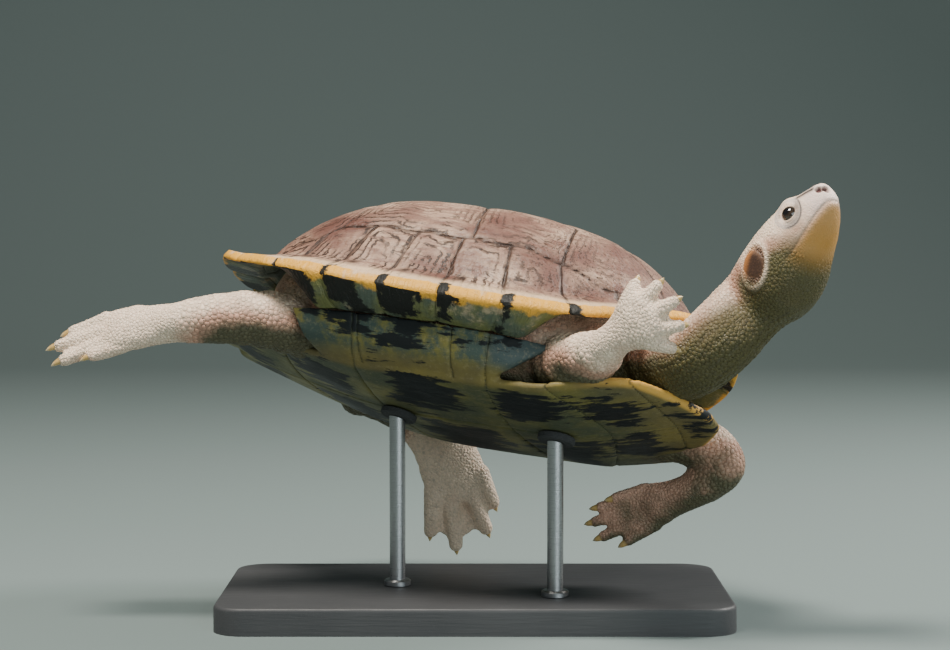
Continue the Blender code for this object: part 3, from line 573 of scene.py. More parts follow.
@dataclass(frozen=True)
class ShellFinish:
    """Pale horn above, a yellow rim with black blotches, and olive and grey below, partly the underside's own
    olive and partly painted shade.
    """

    horn: Colour = (0.26, 0.150, 0.105)
    warm_horn: Colour = (0.13, 0.058, 0.044)
    pale_horn: Colour = (0.47, 0.325, 0.235)
    grain: Colour = (0.030, 0.015, 0.010)
    yellow: Colour = (0.68, 0.34, 0.04)
    cream: Colour = (0.70, 0.50, 0.31)
    black: Colour = (0.008, 0.008, 0.006)
    # olive and grey, under the rim, are partly the underside's own olive and partly painted shade.
    olive: Colour = (0.15, 0.15, 0.05)
    grey: Colour = (0.075, 0.095, 0.07)

    def build(self, groups: Groups) -> Material:
        """Makes the material."""
        finish = Finish("shell_horn", 0.6, Specular_IOR_Level=0.3)
        kit = finish.kit
        place = kit.place()
        grime = groups.grime.use(kit, place, Blotch_Scale=45.0, Speck_Scale=1100.0, Speck_Amount=1.0)
        seam, growth = kit.number("seam"), kit.number("growth")
        top = kit.mix(grime.outputs["Blotches"], self.horn, self.pale_horn)
        top = kit.mix(kit.ramp(kit.noise(place, 30.0, 4.0, 0.6), 0.42, 0.66), top, self.warm_horn)
        fibre = kit.noise(kit.stretch(place, (90.0, 420.0, 420.0)), 1.0, 5.0, 0.65)
        top = kit.mix(kit.ramp(fibre, 0.56, 0.36, 0.0, 0.65), top, self.warm_horn)
        streak_noise = kit.noise(place, 130.0, 4.0, 0.6, 0.6)
        ring = kit.plus(kit.times(growth, 0.8), kit.times(streak_noise, 4.6))
        wave = kit.math("SINE", kit.times(ring, 3.2))
        streaks = kit.times(kit.ramp(wave, 0.2, 0.85), kit.ramp(kit.noise(place, 80.0, 4.0), 0.42, 0.54))
        streaks = kit.times(streaks, kit.ramp(fibre, 0.34, 0.5))
        top = kit.mix(kit.times(streaks, kit.number("grain")), top, self.grain)
        flecks = kit.noise(kit.stretch(place, (150.0, 330.0, 330.0)), 1.0, 5.0, 0.7, 0.8)
        flecks = kit.ramp(flecks, 0.55, 0.66)
        top = kit.mix(kit.times(flecks, kit.number("fleck")), top, self.grain)
        specks = kit.times(grime.outputs["Specks"], kit.number("speckle"))
        top = kit.mix(specks, top, self.grain)
        top = kit.mix(kit.ramp(seam, 1.1, 0.15, 0.0, 0.9), top, self.grain)
        top = kit.mix(kit.number("spot"), top, self.grain)
        rough = kit.centred(kit.noise(place, 190.0, 6.0, 0.7))
        drift = kit.centred(kit.noise(place, 60.0, 2.0))
        ragged = kit.plus(kit.times(rough, 13.0), kit.times(drift, 11.0))
        rim = kit.plus(kit.number("rim_band"), kit.times(ragged, 0.42))
        top = kit.mix(kit.ramp(kit.number("cream_band"), 0.0, 1.0, 0.0, 0.7), top, self.cream)
        # Painted shade: the rim's underside is olive and grey, darker than the top, over its own olive.
        under = kit.mix(kit.ramp(kit.noise(place, 55.0, 4.0), 0.42, 0.62), self.olive, self.grey)
        under = kit.mix(kit.ramp(kit.noise(place, 130.0, 5.0, 0.7), 0.52, 0.72, 0.0, 0.45), under, self.cream)
        whole = kit.mix(kit.number("under"), top, under)
        whole = kit.mix(kit.ramp(rim, -0.6, 0.6), whole, self.yellow)
        black = kit.ramp(kit.plus(kit.number("blotch"), ragged), -0.6, 0.8)
        whole = kit.mix(black, whole, self.black)
        finish.colour(whole)
        finish.roughness(kit.ramp(grime.outputs["Blotches"], 0.0, 1.0, 0.62, 0.42))
        height = kit.plus(kit.ramp(seam, 0.0, 0.55), kit.times(fibre, 0.7))
        height = kit.plus(height, kit.times(wave, 0.13))
        height = kit.plus(height, kit.times(kit.noise(place, 500.0, 4.0, 0.6), 0.5))
        height = kit.math("SUBTRACT", height, kit.times(streaks, 0.4))
        finish.bump(height, 0.0006)
        return finish.material


@dataclass(frozen=True)
class PlastronFinish:
    """Olive-yellow horn with a black blotch on each plate, and painted shade on the front of the bridges."""

    olive: Colour = (0.19, 0.165, 0.045)
    yellow: Colour = (0.62, 0.34, 0.07)
    dusky: Colour = (0.075, 0.085, 0.05)
    grey: Colour = (0.055, 0.080, 0.068)
    # pocket is painted shade: dark teal on the front of each bridge wall, by the foreleg's pocket.
    pocket: Colour = (0.050, 0.072, 0.072)
    black: Colour = (0.009, 0.011, 0.012)
    pale: Colour = (0.52, 0.42, 0.26)

    def build(self, groups: Groups) -> Material:
        """Makes the material."""
        finish = Finish("plastron_horn", 0.6, Specular_IOR_Level=0.3)
        kit = finish.kit
        place = kit.place()
        grime = groups.grime.use(kit, place, Blotch_Scale=40.0, Speck_Scale=700.0, Speck_Amount=0.12)
        base = kit.mix(grime.outputs["Blotches"], self.dusky, self.olive)
        mottle = kit.ramp(kit.noise(place, 90.0, 5.0, 0.7), 0.38, 0.58)
        wall = kit.mix(mottle, self.olive, self.grey)
        base = kit.painted(base, {"wall": wall, "edge": self.yellow, "pocket": self.pocket})
        base = kit.mix(grime.outputs["Specks"], base, self.pale)
        rough = kit.centred(kit.noise(kit.stretch(place, (45.0, 230.0, 230.0)), 1.0, 6.0, 0.7))
        drift = kit.centred(kit.noise(place, 45.0, 2.0))
        ragged = kit.plus(kit.times(rough, 40.0), kit.times(drift, 20.0))
        black = kit.ramp(kit.plus(kit.number("blotch"), ragged), -0.8, 1.2)
        base = kit.mix(black, base, self.black)
        seam = kit.number("seam")
        base = kit.mix(kit.ramp(seam, 0.45, 0.1, 0.0, 0.5), base, self.dusky)
        finish.colour(base)
        finish.roughness(kit.ramp(grime.outputs["Blotches"], 0.0, 1.0, 0.66, 0.52))
        height = kit.plus(kit.ramp(seam, 0.0, 0.6), kit.times(rough, 0.8))
        height = kit.plus(height, kit.times(kit.noise(place, 420.0, 4.0, 0.6), 0.4))
        finish.bump(height, 0.0005)
        return finish.material


@dataclass(frozen=True)
class SkinFinish:
    """Fine-scaled skin with painted light and shade: paler where it faces up and dusky at the sides and
    below; olive under the throat, partly its own olive and partly painted shade; dark painted shade in
    creases and nostrils.
    """

    # pale, pink and dusky run from painted light to painted shade along the pale mask; pale also paints the
    # eardrum's border, and dusky the specks.
    pale: Colour = (0.86, 0.66, 0.50)
    pink: Colour = (0.54, 0.30, 0.21)
    dusky: Colour = (0.105, 0.092, 0.048)
    olive: Colour = (0.082, 0.068, 0.018)
    beak: Colour = (0.50, 0.225, 0.018)
    snout: Colour = (0.80, 0.62, 0.56)
    lid: Colour = (0.52, 0.44, 0.40)
    # dark is painted shade, laid in the creases between scales and in the crease mask of the face and neck.
    dark: Colour = (0.026, 0.018, 0.014)
    # nostril is painted shade, dark inside the pressed-in nostrils.
    nostril: Colour = (0.085, 0.022, 0.020)
    ring: Colour = (0.62, 0.26, 0.07)
    bare: Colour = (0.115, 0.058, 0.036)

    def build(self, groups: Groups) -> Material:
        """Makes the material."""
        finish = Finish("turtle_skin", 0.5, Subsurface_Weight=0.06, Coat_Roughness=0.3)
        finish.shader.inputs["Subsurface Radius"].default_value = (0.6, 0.3, 0.2)
        finish.shader.inputs["Subsurface Scale"].default_value = 0.002
        kit = finish.kit
        place = kit.place()
        grime = groups.grime.use(kit, place, Blotch_Scale=90.0, Speck_Scale=800.0, Speck_Amount=0.22)
        pebbles = groups.pebbles.use(kit, place, Scale=900.0, Crease=0.10)
        cloud = kit.centred(kit.noise(place, 110.0, 4.0))
        # Painted light and shade: the pale mask is higher where the skin faces up, so the colour goes from
        # dusky through pink to pale.
        shade = kit.plus(kit.number("pale"), kit.times(cloud, 0.7))
        base = kit.mix(kit.ramp(shade, 0.15, 0.55), self.dusky, self.pink)
        base = kit.mix(kit.ramp(shade, 0.5, 1.0), base, self.pale)
        base = kit.painted(base, {
            "olive": self.olive, "snout": self.snout, "beak": self.beak, "ring": self.ring,
            "bare": self.bare, "bright": self.pale, "lid": self.lid,
        })
        base = kit.mix(kit.times(grime.outputs["Specks"], kit.number("scaly")), base, self.dusky)
        # Painted shade: the creases between the small scales are darkened.
        creases = kit.times(pebbles.outputs["Creases"], kit.number("scaly"))
        base = kit.mix(kit.times(creases, 0.22), base, self.dark)
        # Painted shade in the creases and in the nostrils.
        finish.colour(kit.painted(base, {"crease": self.dark, "nostril": self.nostril}))
        finish.roughness(kit.ramp(grime.outputs["Blotches"], 0.0, 1.0, 0.68, 0.5))
        height = kit.times(pebbles.outputs["Height"], kit.number("scaly"))
        height = kit.plus(height, kit.times(kit.noise(place, 1400.0, 3.0), 0.35))
        finish.bump(height, 0.0003)
        return finish.material


@dataclass(frozen=True)
class EyeFinish:
    """A wet, near-black eye with a brown iris and a thin pale ring."""

    pupil: Colour = (0.004, 0.003, 0.003)
    iris: Colour = (0.018, 0.011, 0.007)
    ring: Colour = (0.12, 0.075, 0.045)

    def build(self) -> Material:
        """Makes the material."""
        finish = Finish("turtle_eye", 0.06, Coat_Weight=1.0, Coat_Roughness=0.02)
        kit = finish.kit
        angle = kit.number("from_axis")
        place = kit.place()
        flecked = kit.mix(kit.ramp(kit.noise(place, 2200.0, 3.0), 0.45, 0.65), self.iris, self.ring)
        base = kit.mix(kit.ramp(angle, 0.34, 0.40), self.pupil, self.iris)
        base = kit.mix(kit.ramp(angle, 0.40, 0.62, 0.0, 0.35), base, flecked)
        finish.colour(kit.mix(kit.ramp(angle, 1.0, 1.08), base, self.ring))
        return finish.material


@dataclass(frozen=True)
class EarFinish:
    """A bare brown eardrum with a paler, orange border."""

    middle: Colour = (0.050, 0.026, 0.018)
    border: Colour = (0.15, 0.075, 0.040)
    orange: Colour = (0.50, 0.20, 0.06)

    def build(self, groups: Groups) -> Material:
        """Makes the material."""
        finish = Finish("eardrum", 0.45)
        kit = finish.kit
        place = kit.place()
        grime = groups.grime.use(kit, place, Blotch_Scale=300.0, Speck_Scale=1500.0, Speck_Amount=0.5)
        base = kit.mix(kit.ramp(kit.number("from_middle"), 0.55, 1.0), self.middle, self.border)
        base = kit.mix(grime.outputs["Specks"], base, self.border)
        base = kit.mix(kit.times(kit.number("upper"), 0.75), base, self.orange)
        finish.colour(base)
        finish.bump(kit.noise(place, 1200.0, 4.0), 0.0002)
        return finish.material


@dataclass(frozen=True)
class ClawFinish:
    """Yellowish horn, darker at the root and paler at the point."""

    root: Colour = (0.20, 0.12, 0.05)
    middle: Colour = (0.55, 0.36, 0.13)
    point: Colour = (0.72, 0.58, 0.36)

    def build(self) -> Material:
        """Makes the material."""
        finish = Finish("claw_horn", 0.32, Coat_Weight=0.3, Coat_Roughness=0.2)
        kit = finish.kit
        along = kit.number("along")
        streaks = kit.noise(kit.place(), 1800.0, 3.0)
        base = kit.mix(kit.ramp(along, 0.1, 0.45), self.root, self.middle)
        base = kit.mix(kit.ramp(along, 0.6, 1.0), base, self.point)
        finish.colour(kit.mix(kit.ramp(streaks, 0.5, 0.7, 0.0, 0.4), base, self.root))
        finish.bump(streaks, 0.0001)
        return finish.material


@dataclass(frozen=True)
class StandFinish:
    """The stand's charcoal board, satin rods and dark pads."""

    board: Colour = (0.042, 0.043, 0.046)
    board_dust: Colour = (0.085, 0.085, 0.088)
    steel: Colour = (0.46, 0.46, 0.47)
    pad: Colour = (0.030, 0.030, 0.031)

    def build_board(self, groups: Groups) -> Material:
        """Matt paint over fine grain."""
        finish = Finish("stand_board", 0.55)
        kit = finish.kit
        place = kit.object_place()
        grime = groups.grime.use(kit, place, Blotch_Scale=14.0, Speck_Scale=1600.0, Speck_Amount=0.35)
        dust = kit.math("MAXIMUM", kit.times(grime.outputs["Blotches"], 0.35), grime.outputs["Specks"])
        finish.colour(kit.mix(dust, self.board, self.board_dust))
        grain = kit.noise(kit.stretch(place, (60.0, 900.0, 900.0)), 1.0, 4.0)
        finish.roughness(kit.ramp(grain, 0.2, 0.8, 0.48, 0.62))
        finish.bump(grain, 0.00012)
        return finish.material

    def build_steel(self) -> Material:
        """Satin steel, turned along its length."""
        finish = Finish("stand_steel", 0.3, Metallic=1.0)
        kit = finish.kit
        place = kit.object_place()
        rings = kit.noise(kit.stretch(place, (200.0, 200.0, 9000.0)), 1.0, 3.0)
        darker = tuple(part * 0.72 for part in self.steel)
        finish.colour(kit.mix(rings, darker, self.steel))
        finish.roughness(kit.ramp(rings, 0.2, 0.8, 0.24, 0.4))
        finish.bump(rings, 0.00004)
        return finish.material

    def build_pad(self) -> Material:
        """Dark felt over the pads."""
        finish = Finish("stand_felt", 0.9)
        kit = finish.kit
        place = kit.object_place()
        fuzz = kit.noise(place, 2600.0, 4.0, 0.7)
        lighter = tuple(part * 2.2 for part in self.pad)
        finish.colour(kit.mix(kit.ramp(fuzz, 0.4, 0.7), self.pad, lighter))
        finish.bump(fuzz, 0.0002)
        return finish.material


# ---------------------------------------------------------------------------------------------
# Shell


@dataclass
class ShellForm:
    """The plan outline and the heights that both halves of the shell share, in millimetres."""

    half_length: float = 100.0
    half_width: float = 71.0
    power_front: float = 2.25
    power_rear: float = 2.6
    wider_behind: float = 0.10
    rim_sag: float = 2.0
    rim_lift: float = 12.0
    rim_flare: float = 4.0
    rim_lowest_x: float = 15.0
    far_droop: float = 7.5
    lip_z: float = -10.0
    lip_rho: float = 0.86
    bridge_rear_x: float = -52.0
    bridge_front_x: float = 52.0
    bridge_fade: float = 9.0

    def half_width_at(self, x: Array) -> Array:
        """Half the width of the plan outline at a station."""
        share = np.minimum(np.abs(x) / self.half_length, 1.0)
        power = self.power_rear + (self.power_front - self.power_rear) * smooth_step(x, -60.0, 60.0)
        round_width = self.half_width * (1 - share**power) ** (1 / power)
        return round_width * (1 - self.wider_behind * x / self.half_length)

    def rim_height(self, x: Array) -> Array:
        """The height of the rim, lowest over the bridge."""
        lowest = self.rim_lowest_x
        reach = np.where(x > lowest, self.half_length - lowest, self.half_length + lowest)
        flare = self.rim_flare * (smooth_step(-x, 72, 100) + smooth_step(x, 56, 92))
        return self.rim_lift * np.abs((x - lowest) / reach) ** 2.2 - self.rim_sag + flare

    def rim_level(self, rim: Array) -> Array:
        """The height of rim points; the left front droops a little below the right."""
        droop = self.far_droop * smooth_step(rim[:, 0], 52.0, 84.0) * smooth_step(rim[:, 1], 4.0, 30.0)
        return self.rim_height(rim[:, 0]) - droop

    def bridge_weight(self, x: Array) -> Array:
        """1 where the bridge carries the rim, 0 where the rim is free."""
        rear, front, fade = self.bridge_rear_x, self.bridge_front_x, self.bridge_fade
        return smooth_step(x, rear - fade, rear + fade) * (1 - smooth_step(x, front - fade, front + fade))


@dataclass
class Carapace:
    """The upper shell, with its scutes, growth rings, yellow rim and black blotches."""

    form: ShellForm
    height: float = 49.4
    dome_power: float = 3.0
    fullness: float = 0.80
    foot_side: float = 0.90
    foot_front: float = 0.875
    foot_rear: float = 0.845
    wall: float = 4.5
    turn_rho: float = 0.996
    steps_round: int = 620
    marginals: int = 12
    marginal_width: float = 19.6
    nuchal_width: float = 9.0
    seam_shift: float = 6.3
    serration: float = 1.7
    marginal_side: float = 0.745
    marginal_front: float = 0.86
    marginal_rear: float = 0.84
    vertebral_ends: tuple = (84.0, -80.0)
    vertebral_seams: tuple = (54.0, 19.0, -16.0, -54.0)
    costal_seams: tuple = ((38.0, 46.0), (2.0, 11.0), (-34.0, -41.0))
    vertebral_wide: float = 23.0
    vertebral_narrow: float = 15.0
    groove_depth: float = 0.55
    blotch_shares: tuple = (0.35, 0.35, 0.30, 0.25, 0.35, 0.95, 1.0, 0.95, 0.9, 0.8, 0.7, 0.6)

    def end_weights(self, x: Array) -> tuple[Array, Array]:
        """How much a rim point belongs to the front and to the rear end."""
        share = x / self.form.half_length
        return smooth_step(share, 0.35, 0.95), smooth_step(-share, 0.35, 0.95)

    def top(self, rim: Array, rho: Array) -> Array:
        """Height of the outer surface at a share rho of the way out to a rim point."""
        front, rear = self.end_weights(rim[:, 0])
        side = self.foot_side
        foot = side + (self.foot_front - side) * front + (self.foot_rear - side) * rear
        flange = 6.5 - 0.5 * rear
        dome = self.height * np.maximum(0.0, 1 - (rho / foot) ** self.dome_power) ** self.fullness
        slope = np.minimum(flange, flange * (1 - rho) / (1 - foot))
        raised = soft_max(dome, slope, 3.0 * smooth_step(rho, 0.3, 0.8))
        return self.form.rim_level(rim) * rho**3 + raised + 0.8

    def top_at(self, rim: Array, rho: float) -> Array:
        """Height of the outer surface at one share of the way out to every rim point."""
        return self.top(rim, np.full(len(rim), rho))

    def rim(self) -> tuple[Array, Array, Array]:
        """The rim's plan points, each with its marginal number and its share along that marginal.

        Returns:
            Plan points, and the scute coordinate that counts marginals from the nose, with a
            whole number at each seam; it is negative on the right side.
        """
        turn = np.linspace(0, 1, 5761)
        x = self.form.half_length * np.cos(2 * np.pi * turn)
        y = self.form.half_width_at(x) * np.where(turn <= 0.5, 1, -1)
        length = np.concatenate([[0.0], np.cumsum(np.hypot(np.diff(x), np.diff(y)))])
        station = np.arange(self.steps_round) / self.steps_round * length[-1]
        points = np.stack([np.interp(station, length, x), np.interp(station, length, y)], axis=1)
        half, nuchal = length[-1] / 2, self.nuchal_width / 2
        away = np.minimum(station, length[-1] - station)
        side = np.where(station <= half, 1.0, -1.0)
        numbers = np.arange(self.marginals + 1)
        seams = nuchal + (half - nuchal) / self.marginals * numbers
        seams += self.seam_shift * np.sin(np.pi * numbers / self.marginals)
        count = np.interp(away, [-nuchal, *seams], np.arange(-1, self.marginals + 1))
        return points, count, side

    def seam_distance(
        self, x: Array, y: Array, rho: Array, count: Array, rim_x: Array, reach: Array
    ) -> tuple[Array, Array]:
        """How far each point of the back is from the nearest seam between scutes.

        Args:
            x: Stations in millimetres.
            y: Distances from the middle line in millimetres, without sign.
            rho: Shares of the way out to the rim.
            count: The marginal coordinate of the ray that the point lies on.
            rim_x: The station of the rim point of that ray.
            reach: The length of that ray in millimetres.

        Returns:
            The distance in millimetres, and 1 where the point is on a marginal.
        """
        front, rear = self.end_weights(rim_x)
        border = self.marginal_side + (self.marginal_front - self.marginal_side) * front
        border = border + (self.marginal_rear - self.marginal_side) * rear
        border = border + 0.006 * np.sin(count * 2 * np.pi)
        to_border = (rho - border) * reach * 1.15
        on_marginal = to_border > 0
        part = np.abs(count - np.round(count))
        beside = part * self.marginal_width * rho
        first, last = self.vertebral_ends
        stations = [first, *(seam[0] for seam in self.costal_seams), last]
        knots = sorted([*stations, *self.vertebral_seams])
        widths = [self.vertebral_wide if knot in stations else self.vertebral_narrow for knot in knots]
        to_side = np.interp(x, knots, widths) - y
        inside = to_side > 0
        distance = np.abs(to_side)
        for seam in self.vertebral_seams:
            bow = 1.6 * np.cos(y / self.vertebral_narrow * np.pi / 2)
            distance = np.where(inside, np.minimum(distance, np.abs(x - seam - bow)), distance)
        for inner, outer in self.costal_seams:
            share = np.clip((y - self.vertebral_wide) / 30.0, 0, 1)
            line = inner + (outer - inner) * share
            distance = np.where(inside, distance, np.minimum(distance, np.abs(x - line)))
        distance = np.where(on_marginal, np.minimum(beside, to_border), np.minimum(distance, -to_border))
        return np.abs(distance), on_marginal.astype(float)

    def rings(self, rim: Array) -> list[tuple[float, Array, float]]:
        """The shell's rings from the summit, over the rim, to the inside of the dome.

        Args:
            rim: The rim's plan points.

        Returns:
            For each ring its share of the way out, its heights, and 1 where it faces down.
        """
        form = self.form
        outer = np.concatenate([np.linspace(0.02, 0.66, 44), np.linspace(0.672, 1.0, 32)])
        bridge, low = form.bridge_weight(rim[:, 0]), form.rim_level(rim)
        knee = low - 1.2
        lip = bridge * form.lip_z + (1 - bridge) * (self.top_at(rim, form.lip_rho) - 3.6)
        mid = 0.5 * (low - 1.6 + lip) - 0.5 * bridge
        inner_z = bridge * (form.lip_z + 1.0) + (1 - bridge) * (self.top_at(rim, form.lip_rho - 0.05) - 4.0)
        rings = [(rho, self.top_at(rim, rho), 0.0) for rho in outer[:-1]]
        turn = self.turn_rho
        rings += [(turn, low + 0.9, 0.0), (1.0, low + 0.3, 0.0), (1.0, low - 0.5, 0.0), (turn, knee, 0.5)]
        for share in np.linspace(0.04, 1, 25):
            rho = turn + (form.lip_rho - turn) * share
            first = np.interp(-rho, [-turn, -0.93, -form.lip_rho], [0, 1, 2])
            z = np.where(first < 1, knee + (mid - knee) * first, mid + (lip - mid) * (first - 1))
            rings.append((rho, z - bridge * 0.9 * math.sin(share * math.pi), 1.0))
        turned_in = (0.35, 0.7, 1.0)
        rings += [(form.lip_rho - 0.05 * part, lip + (inner_z - lip) * part, 1.0) for part in turned_in]
        inside = (0.76, 0.72, 0.6, 0.45, 0.3, 0.15)
        return rings + [(rho, self.top_at(rim, rho) - self.wall, 1.0) for rho in inside]

    def build(self, material: Material) -> None:
        """Makes the shell's mesh, with what its material reads, and dresses it."""
        rim, count, side = self.rim()
        rim_x, reach = rim[:, 0], np.linalg.norm(rim, axis=1)
        near_seam = np.abs(count - np.round(count)) * self.marginal_width
        notch = np.exp(-((near_seam / 1.6) ** 2)) - 0.35 * np.sin(np.pi * np.abs(count % 1))
        edge = 1 - smooth_step(-rim_x, 20.0, 45.0) * self.serration * 0.5 * notch / reach
        rings = self.rings(rim)
        points = np.array([
            np.column_stack([rim * rho * (1 + (edge - 1) * smooth_step(rho, 0.85, 1.0))[:, None], z])
            for rho, z, _ in rings
        ])
        rho_all = np.array([rho for rho, _, _ in rings])[:, None]
        under = np.array([below for _, _, below in rings])[:, None]
        x, y = points[:, :, 0], np.abs(points[:, :, 1])
        distance, marginal = self.seam_distance(x, y, rho_all, count, rim_x, reach)
        summit = np.array([0, 0, self.height + 0.8])
        shape = loft(points, summit, summit - [0, 0, self.wall])
        fields = (
            (distance, 20.0, 20.0), (marginal, 0, 0), (under, 0.0, 1.0), (rho_all, 0, 0), (count, 0, 0),
            (rim_x, 0, 0), (side, 1, 1),
        )
        seam, on_marginal, below, rho_flat, numbers, rim_place, right = (
            np.append(np.broadcast_to(grid, x.shape).ravel(), poles) for grid, *poles in fields
        )
        flat, flat_x = shape.points, shape.points[:, 0]
        relief = -self.groove_depth * np.exp(-((seam / 0.55) ** 2))
        relief = relief + 0.35 * smooth_step(seam, 0.0, 5.0) + 0.35 * noise(flat, 14.0, 3, 3)
        obj = make_mesh("carapace_shell", shape)
        relief = relief * np.where(rho_flat > 0.9, 0.5, 1.0)
        raise_points(obj, relief * (rho_flat > 0.8 - 0.8 * (below < 0.5)))
        scute = np.stack([np.floor(numbers), on_marginal, right], axis=1).astype(np.int64)
        share = numbers - np.floor(numbers)
        low_side = smooth_step(rho_flat, 0.45, 0.8)
        above = below < 0.2
        spot = bell(share, 0.74, 0.11) * bell(rho_flat, 0.90, 0.022) * on_marginal * above
        spot = spot * smooth_step(rim_place, -70.0, -40.0) * (1 - smooth_step(rim_place, 25.0, 45.0))
        store(
            obj,
            place=flat * MM,
            seam=seam + 0.5 * noise(flat, 3.5, 9, 3),
            growth=seam + 2.0 * hash_noise(scute, 5),
            under=smooth_step(below, 0.5, 0.9),
            grain=(0.4 + 0.6 * low_side) * (0.45 + 0.55 * smooth_step(-flat_x, -60.0, -10.0)),
            fleck=(0.35 + 0.6 * low_side) * smooth_step(-flat_x, -95.0, -30.0),
            speckle=0.25 + 0.75 * smooth_step(flat_x, 10.0, 45.0),
            spot=spot,
            rim_band=(rho_flat - np.where(above, 0.980, 0.985)) * 70,
            cream_band=smooth_step(rho_flat, 0.90, 0.965) * above,
            blotch=self.blotch_field(numbers, rho_flat, below),
        )
        finish_piece(obj, material, ["carapace"])

    def blotch_field(self, count: Array, rho: Array, below: Array) -> Array:
        """How far inside a black blotch each point of the rim's underside is, in millimetres.

        Args:
            count: The marginal coordinate, with a whole number at each seam.
            rho: The share of the way out to the rim.
            below: 1 under the rim and 0 above it.

        Returns:
            Positive numbers inside a blotch, and negative ones outside.
        """
        number = np.clip(np.floor(count), 0, self.marginals - 1).astype(int)
        share = count - np.floor(count)
        wide = np.array(self.blotch_shares)[number]
        from_rear = (1 - share) * self.marginal_width
        lower = np.minimum(wide * 14.5 - from_rear, from_rear - 0.8)
        lower = np.minimum(lower, (rho - 0.885) * 75)
        upper = 3.6 - np.abs(np.minimum(share + 0.22, np.abs(1.0 - share) * 1.4) * self.marginal_width)
        upper = np.minimum(upper, (rho - 0.965) * 90)
        return np.where(below >= 0.45, lower, upper)


